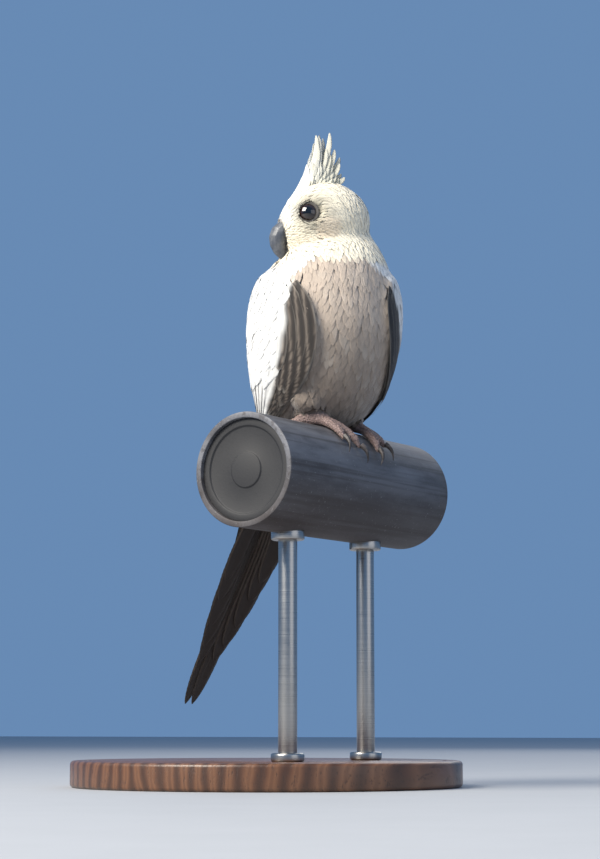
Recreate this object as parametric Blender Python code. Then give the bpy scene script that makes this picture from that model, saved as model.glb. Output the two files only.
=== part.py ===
"""Cockatiel perched on a cut length of round rail, on a small display stand.

The bird sits at rest with its head turned over its right shoulder. Body shapes are
given in a body space of (lateral, forward, height) measured from the top of the rail,
where lateral is positive to the bird's left, and are then turned about the vertical:
a little at the hips, more at the chest, and by far the most at the head.
"""
import math

import bmesh
import bpy
import numpy as np
from mathutils import Matrix, Vector

MM = 0.001
GAP = 0.3 * MM            # clearance between the stand's pieces
COAT_GAP = 0.45 * MM      # clearance between the bird's pieces
OVERRUN = 10 * MM         # how much longer a cutter is than what it cuts

SIDES = ((1, "left"), (-1, "right"))

# Colour, roughness and metallic of each material
LOOKS = {
    "cream_feathers": ((0.86, 0.80, 0.60), 0.8, 0.0),
    "fawn_feathers": ((0.42, 0.34, 0.27), 0.8, 0.0),
    "white_wing": ((0.85, 0.84, 0.80), 0.8, 0.0),
    "brown_feathers": ((0.13, 0.10, 0.08), 0.7, 0.0),
    "bill_horn": ((0.12, 0.12, 0.13), 0.4, 0.0),
    "claw_horn": ((0.05, 0.045, 0.045), 0.4, 0.0),
    "foot_skin": ((0.33, 0.24, 0.22), 0.6, 0.0),
    "eye": ((0.015, 0.01, 0.008), 0.06, 0.0),
    "galvanised": ((0.20, 0.20, 0.21), 0.5, 0.85),
    "walnut": ((0.10, 0.055, 0.03), 0.4, 0.0),
    "steel": ((0.35, 0.34, 0.33), 0.3, 1.0),
    "plug_rubber": ((0.02, 0.02, 0.022), 0.6, 0.0),
}

# Stand and perch
BASE_RADIUS = 75 * MM
BASE_THICK = 10 * MM
BASE_EDGE = 1.5 * MM
RAIL_RADIUS = 21.1 * MM   # 42.2 mm fence rail
RAIL_LENGTH = 112 * MM
RAIL_WALL = 2.2 * MM
RAIL_EDGE = 0.5 * MM
PLUG_DEEP = 1.6 * MM      # the plug in each end of the rail sits below its rim
PLUG_THICK = 1.3 * MM
RAIL_TOP = 136 * MM       # height of the top of the rail above the surface
PERCH_Y = -28 * MM        # the rail lies ahead of the base's centre, over the bird's weight
ROD_RADIUS = 3.5 * MM
ROD_SPREAD = 27 * MM      # each rod's distance from the middle of the rail
ROD_REACH = 1.5 * MM      # each rod's top is hollowed to the rail, this far up round it

# Facing, in degrees from straight ahead (-Y) towards the bird's right (-X)
HIP_YAW, CHEST_YAW, HEAD_YAW = 25.0, 42.0, 133.0
HIP_HEIGHT, CHEST_HEIGHT = 8.0, 60.0
HEAD_PITCH = -12.0
HEAD_CENTRE = (-5.2, -1.2, 80.0)
HEAD_SCALE = 1.09         # the head's tables below are for a smaller bird

# Tail: insertion and tip in (forward, height), in mm
TAIL_ROOT = (-11.0, 9.8)
TAIL_TIP = (-113.0, -106.0)

# Trunk sections from the tail coverts up to the neck:
# forward, height, tilt in degrees, half width, half depth in front, half depth behind
TRUNK = (
    (-29.5, -15.5, 38, 8.0, 3.6, 4.0),
    (-24.5, -8.0, 37, 12.0, 5.6, 6.5),
    (-19.0, 1.0, 34, 17.0, 8.5, 10.0),
    (-13.5, 10.0, 29, 22.5, 20.5, 13.5),
    (-9.0, 19.5, 22, 26.0, 27.5, 17.0),
    (-5.0, 30.0, 15, 27.9, 30.3, 20.5),
    (-2.0, 41.0, 10, 28.2, 31.3, 22.5),
    (0.0, 52.0, 6, 27.2, 29.6, 22.3),
    (1.5, 61.0, 2, 25.2, 26.0, 20.6),
)
# Neck and hood: lateral, forward, height, half width, half depth in front and behind
NECK = (
    (0.0, 1.5, 61.0, 25.0, 25.8, 20.4),
    (0.8, 1.8, 65.5, 22.6, 22.6, 18.8),
    (2.2, 2.0, 70.5, 18.8, 18.4, 16.6),
    (3.2, 1.6, 75.5, 15.0, 14.4, 14.6),
    (2.6, 0.8, 80.5, 12.0, 11.0, 12.0),
    (1.0, 0.4, 84.5, 6.5, 6.0, 6.5),
)
NECK_FLOOR = 61.4         # the collar's flat underside, just over the trunk's top
FLOOR_BLOCK = (100, 100, 50)   # sides of the block that trims the collar there
# Head, from nape to face: forward, half width, half height above and below
HEAD = (
    (-17.6, 2.6, 2.4, 3.0),
    (-16.2, 6.4, 6.0, 7.0),
    (-13.2, 10.0, 10.2, 10.6),
    (-8.6, 12.6, 13.6, 13.0),
    (-3.0, 13.7, 15.1, 14.2),
    (2.4, 13.6, 15.0, 14.3),
    (7.2, 12.6, 13.4, 13.6),
    (11.2, 10.7, 10.0, 12.0),
    (14.0, 8.2, 6.4, 9.4),
    (15.8, 5.0, 3.6, 5.8),
)
# Upper and lower bill, along the curve: forward, height, half width, half depth
UPPER_BILL = (
    (12.6, -0.2, 4.3, 3.6),
    (14.8, -0.7, 4.3, 3.9),
    (16.8, -2.7, 3.9, 3.7),
    (17.7, -5.8, 3.2, 3.1),
    (17.4, -8.9, 2.3, 2.2),
    (16.2, -11.6, 1.2, 1.2),
    (15.1, -13.2, 0.25, 0.25),
)
LOWER_BILL = (
    (10.4, -8.4, 3.3, 2.0),
    (12.2, -9.6, 3.4, 2.0),
    (13.6, -9.9, 2.7, 1.6),
    (14.6, -9.4, 1.6, 0.9),
    (15.0, -9.0, 0.7, 0.3),
)
EYE_FORWARD, EYE_SIDE, EYE_UP, EYE_RADIUS = 6.6, 8.2, 2.6, 4.1
SOCKET = (5.5, 4.84, 2.42)   # half sizes of the hollow round each eye
SOCKET_OUT = 4.5

# Wing: place along the trunk (0 tail end, 1 neck), front edge, back edge, thickness
WING_ON_TRUNK = (
    (0.985, 62, 112, 2.2),
    (0.93, 46, 138, 4.2),
    (0.84, 37, 152, 5.2),
    (0.74, 34, 160, 5.2),
    (0.63, 38, 164, 4.8),
    (0.52, 47, 166, 4.4),
    (0.41, 60, 167, 4.0),
    (0.30, 76, 168, 3.6),
    (0.20, 92, 168, 3.2),
)
# Wing tip over the tail: distance along the tail, outer and inner edge, height, thickness
WING_ON_TAIL = (
    (24.0, 17.0, 3.2, 6.6, 2.6),
    (38.0, 13.2, 2.2, 5.4, 2.2),
    (53.0, 10.6, 1.6, 4.6, 1.9),
    (68.0, 8.6, 1.2, 4.1, 1.6),
    (80.0, 6.9, 1.0, 3.8, 1.3),
    (87.0, 4.9, 1.3, 3.6, 1.0),
    (91.0, 2.9, 2.1, 3.5, 0.8),
)
# Tail feathers from the middle pair outwards: length, offset of the shaft, half width
TAIL_FEATHERS = ((151, 1.6, 3.9), (127, 3.4, 4.6), (119, 5.0, 4.6), (108, 6.4, 4.6), (94, 7.6, 4.4))
# Crest feathers: root forward and height on the head, length, lean back from upright in degrees, half width
CREST_FEATHERS = ((9.6, 9.4, 11, 44, 2.5), (8.2, 10.3, 14, 38, 2.9), (6.6, 11.1, 18, 34, 3.2),
                  (4.8, 12.0, 21, 30, 3.3), (2.8, 12.4, 24, 28, 3.3), (0.6, 12.6, 22, 32, 3.2),
                  (-2.0, 12.6, 14, 48, 2.8))
CREST_BEND, CREST_CURL = 15.0, 19.0   # degrees each feather bends back, then curls forward, to its tip
CREST_MOUND = ((0, -1.6, 12.6), (2.6, 8.6, 3.4))   # place in the head and half sizes
# Toes, from the innermost: plan direction from straight ahead, length, radius at the base
TOES = (("hallux", 162, 10.0, 1.8), ("inner", -16, 15.0, 2.1), ("outer", 12, 19.0, 2.2),
        ("rear", -160, 14.0, 1.9))
FOOT_SPREAD = 12.2 * MM
FOOT_AHEAD = 4.0          # the middle of the foot lies this far round the rail, forwards
TOES_OUT = 6              # degrees the whole foot is turned outwards
CLAW_LENGTH, CLAW_RADIUS = 5.6, 1.05
# Thigh, downwards: lateral, forward, height, radius
THIGH = ((12.4, -4.6, 27.0, 4.6), (13.0, -3.0, 21.0, 7.5), (13.2, -0.8, 15.0, 8.6),
         (12.9, 1.4, 9.6, 7.7), (12.6, 2.6, 6.4, 5.9), (12.4, 3.0, 4.6, 4.0))


def clear_scene():
    for obj in list(bpy.data.objects):
        bpy.data.objects.remove(obj, do_unlink=True)


def new_collection(name, hidden=False):
    collection = bpy.data.collections.new(name)
    bpy.context.scene.collection.children.link(collection)
    collection.hide_render = hidden
    return collection


def material(name):
    colour, roughness, metallic = LOOKS[name]
    made = bpy.data.materials.get(name) or bpy.data.materials.new(name)
    made.use_nodes = True
    shader = made.node_tree.nodes["Principled BSDF"]
    shader.inputs["Base Color"].default_value = (*colour, 1.0)
    shader.inputs["Roughness"].default_value = roughness
    shader.inputs["Metallic"].default_value = metallic
    made.diffuse_color = (*colour, 1.0)
    return made


def spread(rows, count):
    """The table's rows as count rows on a smooth curve through them."""
    rows = np.array(rows, float)
    at = np.linspace(0, len(rows) - 1, count)
    k = np.clip(at.astype(int), 0, len(rows) - 2)
    t = (at - k)[:, None]
    a, b = rows[k], rows[k + 1]
    leave = (b - rows[np.maximum(k - 1, 0)]) / 2
    arrive = (rows[np.minimum(k + 2, len(rows) - 1)] - a) / 2
    return ((2 * t**3 - 3 * t**2 + 1) * a + (t**3 - 2 * t**2 + t) * leave
            + (3 * t**2 - 2 * t**3) * b + (t**3 - t**2) * arrive)


def facing(yaw):
    """Unit vectors (left, forward) for a bird turned by yaw degrees."""
    yaw = math.radians(yaw)
    return Vector((math.cos(yaw), -math.sin(yaw), 0)), Vector((-math.sin(yaw), -math.cos(yaw), 0))


def in_body(lateral, forward, height):
    """A point of body space, in mm, as a world point with the trunk's twist."""
    t = min(max((height - HIP_HEIGHT) / (CHEST_HEIGHT - HIP_HEIGHT), 0), 1)
    left, ahead = facing(HIP_YAW + (CHEST_YAW - HIP_YAW) * t * t * (3 - 2 * t))
    return (left * lateral + ahead * forward + Vector((0, 0, height))) * MM + Vector((0, PERCH_Y, RAIL_TOP))


def head_matrix():
    """Head space: X to the bird's left, Y backwards, Z up, from the middle of the skull."""
    centre = Vector(HEAD_CENTRE) * MM + Vector((0, PERCH_Y, RAIL_TOP))
    turn = Matrix.Rotation(math.radians(-HEAD_YAW), 4, "Z")
    return Matrix.Translation(centre) @ turn @ Matrix.Rotation(math.radians(-HEAD_PITCH), 4, "X")


def in_head(lateral, forward, height):
    return head_matrix() @ (Vector((lateral, -forward, height)) * HEAD_SCALE * MM)


def make_object(name, mesh, collection, look):
    obj = bpy.data.objects.new(name, mesh)
    collection.objects.link(obj)
    if look:
        mesh.materials.clear()
        mesh.materials.append(look)
    mesh.shade_smooth()
    mesh.set_sharp_from_angle(angle=math.radians(50))
    if collection.hide_render:
        obj.hide_render = True
        obj.display_type = "WIRE"
    return obj


def loft(name, rings, collection, look=None):
    """A closed skin through rings of equal count, with a fan at each end."""
    bm = bmesh.new()
    rows = [[bm.verts.new(p) for p in ring] for ring in rings]
    count = len(rows[0])
    for low, high in zip(rows, rows[1:]):
        for i in range(count):
            j = (i + 1) % count
            bm.faces.new((low[i], low[j], high[j], high[i]))
    for row in (rows[0], rows[-1]):
        middle = bm.verts.new(sum((v.co for v in row), Vector()) / count)
        for i in range(count):
            bm.faces.new((row[i], row[(i + 1) % count], middle))
    bmesh.ops.recalc_face_normals(bm, faces=bm.faces)
    bmesh.ops.triangulate(bm, faces=bm.faces)   # so that a piece and its clearance fold alike
    mesh = bpy.data.meshes.new(name)
    bm.to_mesh(mesh)
    bm.free()
    return make_object(name, mesh, collection, look)


def applied(obj):
    """Fixes an object's modifiers into its mesh."""
    mesh = bpy.data.meshes.new_from_object(obj.evaluated_get(bpy.context.evaluated_depsgraph_get()))
    obj.modifiers.clear()
    old = obj.data
    obj.data = mesh
    bpy.data.meshes.remove(old)
    return obj


def clearance(obj, cutters, by=COAT_GAP):
    """A cutter a little larger than the object on every side."""
    bm = bmesh.new()
    bm.from_mesh(obj.data)
    bm.normal_update()
    normals = [v.normal.copy() for v in bm.verts]
    for vert, normal in zip(bm.verts, normals):
        vert.co += normal * by
    mesh = bpy.data.meshes.new(obj.name + "_clearance")
    bm.to_mesh(mesh)
    bm.free()
    return make_object(obj.name + "_clearance", mesh, cutters, None)


def boolean(obj, other, operation):
    step = obj.modifiers.new(operation.title(), "BOOLEAN")
    step.operation = operation
    step.solver = "MANIFOLD"
    step.object = other
    return applied(obj)


def joined(objects):
    """The first object with the others united into it."""
    first = objects[0]
    for other in objects[1:]:
        boolean(first, other, "UNION")
        bpy.data.objects.remove(other, do_unlink=True)
    return first


def largest_body(obj):
    """Drops the slivers that a cut leaves beside the main body."""
    bm = bmesh.new()
    bm.from_mesh(obj.data)
    left, bodies = set(bm.verts), []
    while left:
        body, queue = set(), [next(iter(left))]
        while queue:
            vert = queue.pop()
            if vert in body:
                continue
            body.add(vert)
            queue += [edge.other_vert(vert) for edge in vert.link_edges]
        left -= body
        bodies.append(body)
    main_body = max(bodies, key=len)
    bmesh.ops.delete(bm, geom=[v for v in bm.verts if v not in main_body], context="VERTS")
    bm.to_mesh(obj.data)
    bm.free()


def cut(obj, cutters):
    for cutter in cutters:
        boolean(obj, cutter, "DIFFERENCE")
        largest_body(obj)
    return obj


# ---------------------------------------------------------------- trunk, neck and head

def trunk_point(row, angle, lift=0.0):
    """A point of a trunk section; angle 0 is the breast, 90 the left side, 180 the back."""
    forward, height, tilt, half, front, back = row
    tilt = math.radians(tilt)
    c, s = math.cos(math.radians(angle)), math.sin(math.radians(angle))
    deep = ((front if c > 0 else back) + lift) * c
    return in_body((half + lift) * s, forward + deep * math.cos(tilt), height - deep * math.sin(tilt))


def trunk_rings(around=20, along=13):
    return [[trunk_point(row, 360 * i / around) for i in range(around)] for row in spread(TRUNK, along)]


def neck_rings(around=20, along=6):
    rings = []
    for lateral, forward, height, half, front, back in spread(NECK, along):
        ring = []
        for i in range(around):
            turn = 2 * math.pi * i / around
            deep = (front if math.cos(turn) > 0 else back) * math.cos(turn)
            ring.append(in_body(lateral + half * math.sin(turn), forward + deep, height))
        rings.append(ring)
    return rings


def head_rings(around=18, along=13):
    rings = []
    for forward, half, above, below in spread(HEAD, along):
        ring = []
        for i in range(around):
            turn = 2 * math.pi * i / around
            tall = above if math.cos(turn) > 0 else below
            ring.append(in_head(half * math.sin(turn), forward, tall * math.cos(turn)))
        rings.append(ring)
    return rings


def bill_rings(table, around=12, along=9):
    """Rings across a bill that curves in the head's middle plane."""
    rows = spread(table, along)
    rings = []
    for i, (forward, height, half, deep) in enumerate(rows):
        before, after = rows[max(i - 1, 0)], rows[min(i + 1, len(rows) - 1)]
        run = Vector((after[0] - before[0], after[1] - before[1])).normalized()
        ring = []
        for k in range(around):
            turn = 2 * math.pi * k / around
            out = deep * math.cos(turn)
            ring.append(in_head(half * math.sin(turn), forward - run.y * out, height + run.x * out))
        rings.append(ring)
    return rings


def ball(name, matrix, radius, collection, look=None, segments=14, rings=7):
    bm = bmesh.new()
    bmesh.ops.create_uvsphere(bm, u_segments=segments, v_segments=rings, radius=radius)
    bm.transform(matrix)
    mesh = bpy.data.meshes.new(name)
    bm.to_mesh(mesh)
    bm.free()
    return make_object(name, mesh, collection, look)


def eye_matrix(side, out=0.0):
    """Eye space, with Z pointing out of the head."""
    place = Vector((side * (EYE_SIDE + out), -EYE_FORWARD, EYE_UP)) * HEAD_SCALE * MM
    aim = Vector((side, -0.30, 0.06)).normalized().to_track_quat("Z", "Y").to_matrix().to_4x4()
    return head_matrix() @ Matrix.Translation(place) @ aim


# ---------------------------------------------------------------- wings, tail and crest

def tail_frame():
    root, tip = Vector(TAIL_ROOT), Vector(TAIL_TIP)
    along = (tip - root).normalized()
    return root, along, Vector((along.y, -along.x))


def on_tail(distance, lateral, height):
    """A point by the tail: distance from its root, lateral, and height over its back."""
    root, along, over = tail_frame()
    place = root + along * distance + over * height
    return in_body(lateral, place.x, place.y)


def wing_band(front, middle, back, thick, across=6):
    """A ring round one section of a wing that lies between three outer points."""
    outward = (middle - (front + back) / 2).normalized()
    outer, inner = [], []
    for i in range(across):
        t = i / (across - 1)
        place = front * (1 - t) * (1 - 2 * t) + middle * 4 * t * (1 - t) + back * t * (2 * t - 1)
        depth = (0.35 + 0.65 * math.sin(math.pi * t) ** 0.6) * thick * MM
        outer.append(place)
        inner.append(place - outward * depth)
    return outer + inner[::-1]


def wing_rings(side):
    stations = spread(TRUNK, 101)
    bands = []
    for along, front, back, thick in WING_ON_TRUNK:
        row = stations[round(along * 100)]
        lift = thick * 0.72
        middle = (front + back) / 2
        bands.append([trunk_point(row, side * a, lift + rise) for a, rise in
                      ((front, -thick * 0.3), (middle, 0.0), (back, -thick * 0.3))]
                     + [thick])
    for distance, outer, inner, height, thick in WING_ON_TAIL:
        edge = (on_tail(distance, side * outer, height - 2.2),
                on_tail(distance, side * (outer + inner) / 2, height),
                on_tail(distance, side * inner, height - 0.3))
        bands.append([*edge, thick])
    flat = [[*a, *b, *c, thick] for a, b, c, thick in bands]
    return [wing_band(Vector(r[:3]), Vector(r[3:6]), Vector(r[6:9]), r[9]) for r in spread(flat, 19)]


def tail_half_width(distance):
    """The outline of a graduated tail: each feather's rounded tip makes a step."""
    widest = 0.0
    for length, offset, half in TAIL_FEATHERS:
        left = length - distance
        if left < 0:
            continue
        fan = 0.55 + 0.45 * min(distance / 70, 1)
        tip = math.sqrt(max(0.0, 1 - max(0.0, 1 - left / 13) ** 2))
        widest = max(widest, offset * fan * tip ** 0.3 + half * tip)
    return widest


def tail_rings(across=6):
    distances = [12, 26, 42, 60, 78, 88, 93.5, 100, 105, 107.5, 113, 117, 119, 123, 126, 127.2,
                 134, 141, 146, 149, 150.9]
    rings = []
    for distance in distances:
        half = max(tail_half_width(distance), 0.4)
        thick = 1.3 + 3.2 * (1 - distance / 151) ** 1.4
        top, under = [], []
        for i in range(across):
            t = 2 * i / (across - 1) - 1
            arch = -0.016 * (half * t) ** 2
            edge = max(1 - t ** 4, 0.25)
            top.append(on_tail(distance, half * t, arch + thick / 2 * edge))
            under.append(on_tail(distance, half * t, arch - thick / 2 * edge))
        rings.append(top + under[::-1])
    return rings


def crest_blade(index, collection, around=6, along=6):
    root, up, length, lean, half = CREST_FEATHERS[index]
    rings = []
    side = (-1) ** index * 0.7
    for i in range(along):
        t = i / (along - 1)
        turn = math.radians(lean + CREST_BEND * t - CREST_CURL * t * t)
        place = Vector((root - math.sin(turn) * length * t, up + math.cos(turn) * length * t))
        wide = half * (1.1 - 0.45 * t) * math.sqrt(max(1 - t ** 5, 0.02))
        thick = 1.5 * (1 - 0.72 * t)
        ring = []
        for k in range(around):
            a = 2 * math.pi * k / around
            out = wide * math.cos(a)
            ring.append(in_head(side * (1 - t) + thick * math.sin(a), place.x + out * math.cos(turn),
                                place.y + out * math.sin(turn)))
        rings.append(ring)
    return loft(f"crest_blade_{index}", rings, collection)


def crest(parts, look):
    blades = [crest_blade(i, parts) for i in range(len(CREST_FEATHERS))]
    place, half_sizes = CREST_MOUND
    mound = Matrix.Translation(Vector(place) * MM) @ Matrix.Diagonal((*half_sizes, 1))
    root = ball("crest", head_matrix() @ mound, MM, parts, look, 12, 6)
    return joined([root] + blades)


# ---------------------------------------------------------------- legs and feet

def tube_rings(path, radii, around=7):
    rings = []
    for i, place in enumerate(path):
        run = (path[min(i + 1, len(path) - 1)] - path[max(i - 1, 0)]).normalized()
        side = run.cross(Vector((0, 0, 1)))
        side = side.normalized() if side.length > 0.1 else Vector((1, 0, 0))
        over = side.cross(run)
        rings.append([place + (side * math.cos(a) + over * math.sin(a)) * radii[i]
                      for a in (2 * math.pi * k / around for k in range(around))])
    return rings


def on_rail(x, arc, height):
    """A point over the rail: arc is the distance round it from the top, forwards."""
    angle = arc / RAIL_RADIUS
    reach = RAIL_RADIUS + height
    return Vector((x, PERCH_Y - reach * math.sin(angle), RAIL_TOP - RAIL_RADIUS + reach * math.cos(angle)))


def toe_place(foot_x, plan, side, distance, height):
    """A point along a toe, in mm from the middle of the foot."""
    plan = math.radians(plan + TOES_OUT) * side
    x = foot_x - math.sin(plan) * distance * MM
    return on_rail(x, (FOOT_AHEAD + math.cos(plan) * distance) * MM, height * MM)


def ankle_rings(side):
    x = side * FOOT_SPREAD
    top = Vector((x, PERCH_Y - 3.0 * MM, RAIL_TOP + 4.9 * MM))
    path = [on_rail(x, FOOT_AHEAD * MM, 1.6 * MM), on_rail(x, FOOT_AHEAD * 0.9 * MM, 2.8 * MM), top]
    return tube_rings(path, [r * MM for r in (2.9, 2.7, 2.3)])


def foot(side, name, parts, look):
    x = side * FOOT_SPREAD
    pieces = []
    for _, plan, length, radius in TOES:
        path, radii = [], []
        for i in range(6):
            t = i / 5
            r = radius * (1.0 - 0.3 * t) * (0.55 if i == 5 else 1.0)
            path.append(toe_place(x, plan, side, length * t - 0.5, r + 0.35))
            radii.append(r * MM)
        pieces.append(loft("toe", tube_rings(path, radii), parts))
    ankle = loft(name, ankle_rings(side), parts, look)
    return joined([ankle] + pieces)


def claw(side, toe, name, parts, look):
    x = side * FOOT_SPREAD
    _, plan, length, radius = toe
    path, radii = [], []
    for i in range(6):
        t = i / 5
        height = 0.45 + radius * 0.7 * (1 + 0.75 * math.sin(math.pi * t * 0.9) - 0.95 * t)
        path.append(toe_place(x, plan, side, length - 0.1 + CLAW_LENGTH * t, height))
        radii.append(max(CLAW_RADIUS * (1 - t) ** 0.8, 0.12) * MM)
    return loft(name, tube_rings(path, radii, 6), parts, look)


def thigh_rings(side):
    rings = []
    for lateral, forward, height, radius in spread(THIGH, 8):
        shift = -side * lateral * math.tan(math.radians(HIP_YAW)) * max(0, 1 - height / 22)
        rings.append([in_body(side * lateral + radius * math.cos(a),
                              forward + shift + radius * 1.1 * math.sin(a), height)
                      for a in (2 * math.pi * k / 14 for k in range(14))])
    return rings


# ---------------------------------------------------------------- stand and perch

def block(name, middle, sides, collection):
    bm = bmesh.new()
    bmesh.ops.create_cube(bm, size=1.0)
    bm.transform(Matrix.Translation(middle) @ Matrix.Diagonal((*sides, 1)))
    mesh = bpy.data.meshes.new(name)
    bm.to_mesh(mesh)
    bm.free()
    return make_object(name, mesh, collection, None)


def cylinder(name, radius, depth, place, parts, look, turn=None, vertices=48, edge=0.0):
    bm = bmesh.new()
    bmesh.ops.create_cone(bm, cap_ends=True, segments=vertices, radius1=radius, radius2=radius, depth=depth)
    if edge:
        rims = [e for e in bm.edges if abs(abs(e.verts[0].co.z) - depth / 2) < 1e-6
                and abs(e.verts[0].co.z - e.verts[1].co.z) < 1e-6]
        bmesh.ops.bevel(bm, geom=rims, offset=edge, segments=1, profile=0.5, affect="EDGES")
    bm.transform(Matrix.Translation(place) @ (turn or Matrix.Identity(4)))
    mesh = bpy.data.meshes.new(name)
    bm.to_mesh(mesh)
    bm.free()
    return make_object(name, mesh, parts, look)


def stand(parts, cutters):
    middle = Vector((0, PERCH_Y, RAIL_TOP - RAIL_RADIUS))
    across = Matrix.Rotation(math.pi / 2, 4, "Y")
    rail = cylinder("perch_rail", RAIL_RADIUS, RAIL_LENGTH, middle, parts,
                    material("galvanised"), across, 36, RAIL_EDGE)
    round_rail = cylinder("rail_clearance", RAIL_RADIUS + GAP, RAIL_LENGTH + OVERRUN, middle,
                          cutters, None, across, 44)
    bore = RAIL_RADIUS - RAIL_WALL
    for side, name in SIDES:
        end = middle + Vector((side * RAIL_LENGTH / 2, 0, 0))
        hollow = 2 * (PLUG_DEEP + PLUG_THICK + GAP)
        cut(rail, [cylinder(f"bore_{name}", bore, hollow, end, cutters, None, across, 36)])
        inset = Vector((side * (PLUG_DEEP + PLUG_THICK / 2), 0, 0))
        cylinder(f"perch_plug_{name}", bore - GAP, PLUG_THICK, end - inset, parts,
                 material("plug_rubber"), across, 30)
    on_table = Vector((0, 0, BASE_THICK / 2))
    cylinder("stand_base", BASE_RADIUS, BASE_THICK, on_table, parts, material("walnut"), None, 56, BASE_EDGE)
    low, high = BASE_THICK + GAP, RAIL_TOP - 2 * RAIL_RADIUS + ROD_REACH
    for side, name in SIDES:
        place = Vector((side * ROD_SPREAD, PERCH_Y, (low + high) / 2))
        rod = cylinder(f"stand_rod_{name}", ROD_RADIUS, high - low, place, parts,
                       material("steel"), None, 16)
        cut(rod, [round_rail])
    return round_rail


def lower_body(near, parts, cutters):
    """Feet first, and then what lies over them. Returns the trunk and the clearances the neck needs."""
    fawn, horn = material("fawn_feathers"), material("claw_horn")
    small = []
    for side, name in SIDES:
        small.append(foot(side, f"foot_{name}", parts, material("foot_skin")))
        small += [claw(side, toe, f"claw_{toe[0]}_{name}", parts, horn) for toe in TOES]
    feet_cut = [clearance(piece, cutters) for piece in small]
    wings = [loft(f"wing_{name}", wing_rings(side), parts, material("white_wing")) for side, name in SIDES]
    wing_cut = [clearance(wing, cutters) for wing in wings]
    tail = loft("tail", tail_rings(), parts, material("brown_feathers"))
    tail_cut = clearance(tail, cutters)
    cut(tail, wing_cut + [near] + feet_cut)
    thighs = [loft(f"thigh_{name}", thigh_rings(side), parts, fawn) for side, name in SIDES]
    thigh_cut = [clearance(thigh, cutters) for thigh in thighs]
    for thigh in thighs:
        cut(thigh, [near] + wing_cut + feet_cut)
    trunk = loft("trunk", trunk_rings(), parts, fawn)
    trunk_cut = clearance(trunk, cutters)
    cut(trunk, wing_cut + wings + thigh_cut + [tail_cut, near] + feet_cut)
    return trunk, [trunk_cut], wing_cut


def head_and_bill(trunk, parts, cutters):
    """The head, with the bill, eyes and crest let into it. Returns the clearances the neck needs."""
    cream, horn = material("cream_feathers"), material("bill_horn")
    head = loft("head", head_rings(), parts, cream)
    head_cut = clearance(head, cutters)
    upper = loft("bill_upper", bill_rings(UPPER_BILL), parts, horn)
    lower = loft("bill_lower", bill_rings(LOWER_BILL), parts, horn)
    bill_cut = [clearance(piece, cutters) for piece in (upper, lower)]
    cut(lower, bill_cut[:1])
    cut(head, bill_cut)
    cut(trunk, bill_cut)
    for side, name in SIDES:
        eye = ball(f"eye_{name}", eye_matrix(side), EYE_RADIUS * MM, parts, material("eye"), 14, 8)
        socket = eye_matrix(side, SOCKET_OUT) @ Matrix.Diagonal((*SOCKET, 1))
        cut(head, [ball(f"socket_{name}", socket, MM, cutters), clearance(eye, cutters)])
    cut(crest(parts, cream), [head_cut])
    return [head_cut] + bill_cut


def collar(cuts, parts, cutters):
    """The neck: a collar between the trunk's flat top and the head."""
    neck = loft("neck", neck_rings(), parts, material("cream_feathers"))
    under_neck = in_body(0, 0, NECK_FLOOR - FLOOR_BLOCK[2] / 2)
    below = block("neck_floor", under_neck, Vector(FLOOR_BLOCK) * MM, cutters)
    cut(neck, [below] + cuts)


def main():
    clear_scene()
    parts = new_collection("cockatiel")
    cutters = new_collection("cutters", hidden=True)
    near = stand(parts, cutters)
    trunk, trunk_cut, wing_cut = lower_body(near, parts, cutters)
    head_cut = head_and_bill(trunk, parts, cutters)
    collar(trunk_cut + head_cut + wing_cut, parts, cutters)


main()
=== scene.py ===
import math

import bmesh
import bpy
import numpy as np
from mathutils import Matrix, Vector
from mathutils.bvhtree import BVHTree
from mathutils.kdtree import KDTree


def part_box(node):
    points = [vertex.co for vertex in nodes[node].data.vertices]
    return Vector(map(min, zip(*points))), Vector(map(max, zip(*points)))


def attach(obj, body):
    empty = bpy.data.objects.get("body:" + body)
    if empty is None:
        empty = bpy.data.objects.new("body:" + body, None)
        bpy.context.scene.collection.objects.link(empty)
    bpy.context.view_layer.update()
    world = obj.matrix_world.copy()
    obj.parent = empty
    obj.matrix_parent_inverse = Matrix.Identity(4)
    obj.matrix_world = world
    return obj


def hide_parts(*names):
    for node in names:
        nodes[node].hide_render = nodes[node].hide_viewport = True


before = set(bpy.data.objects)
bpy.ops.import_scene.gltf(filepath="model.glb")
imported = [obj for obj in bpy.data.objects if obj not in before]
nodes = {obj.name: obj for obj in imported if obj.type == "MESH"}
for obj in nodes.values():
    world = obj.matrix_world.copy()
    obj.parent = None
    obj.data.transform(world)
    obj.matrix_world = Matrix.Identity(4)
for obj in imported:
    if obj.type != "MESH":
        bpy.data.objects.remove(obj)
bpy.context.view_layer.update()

MM = 0.001

# ---------------------------------------------------------------- Display base
# A round slab of oiled walnut, turned on a lathe with a rounded rim and a fine bead cut
# into the top near the edge. The grain runs across the slab.

for node in nodes.values():
    node.select_set(False)
base_low, base_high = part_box("stand_base")
BASE_RIM = 1.5 * MM
BEAD_IN, BEAD_WIDE, BEAD_DEEP = 6.0 * MM, 1.6 * MM, 0.5 * MM


def maths(operation, swapped=False):
    """Python arithmetic on the output of a shader node, done by a Math node."""
    def act(self, *others):
        values = (self, *others)
        if swapped:
            values = values[::-1]
        return self.finish.node("Math", {"operation": operation}, dict(enumerate(values)))
    return act


class Signal:
    """One output of a shader node, which takes part in Python arithmetic."""

    __add__ = __radd__ = maths("ADD")
    __mul__ = __rmul__ = maths("MULTIPLY")
    __sub__, __rsub__ = maths("SUBTRACT"), maths("SUBTRACT", swapped=True)
    sine, size = maths("SINE"), maths("ABSOLUTE")

    def __init__(self, finish, socket):
        self.finish, self.socket = finish, socket

    def ramp(self, low, high):
        """0 below low, 1 above high, and smooth between."""
        return self.finish.node("MapRange", {"interpolation_type": "SMOOTHSTEP"}, {0: self, 1: low, 2: high})


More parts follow.
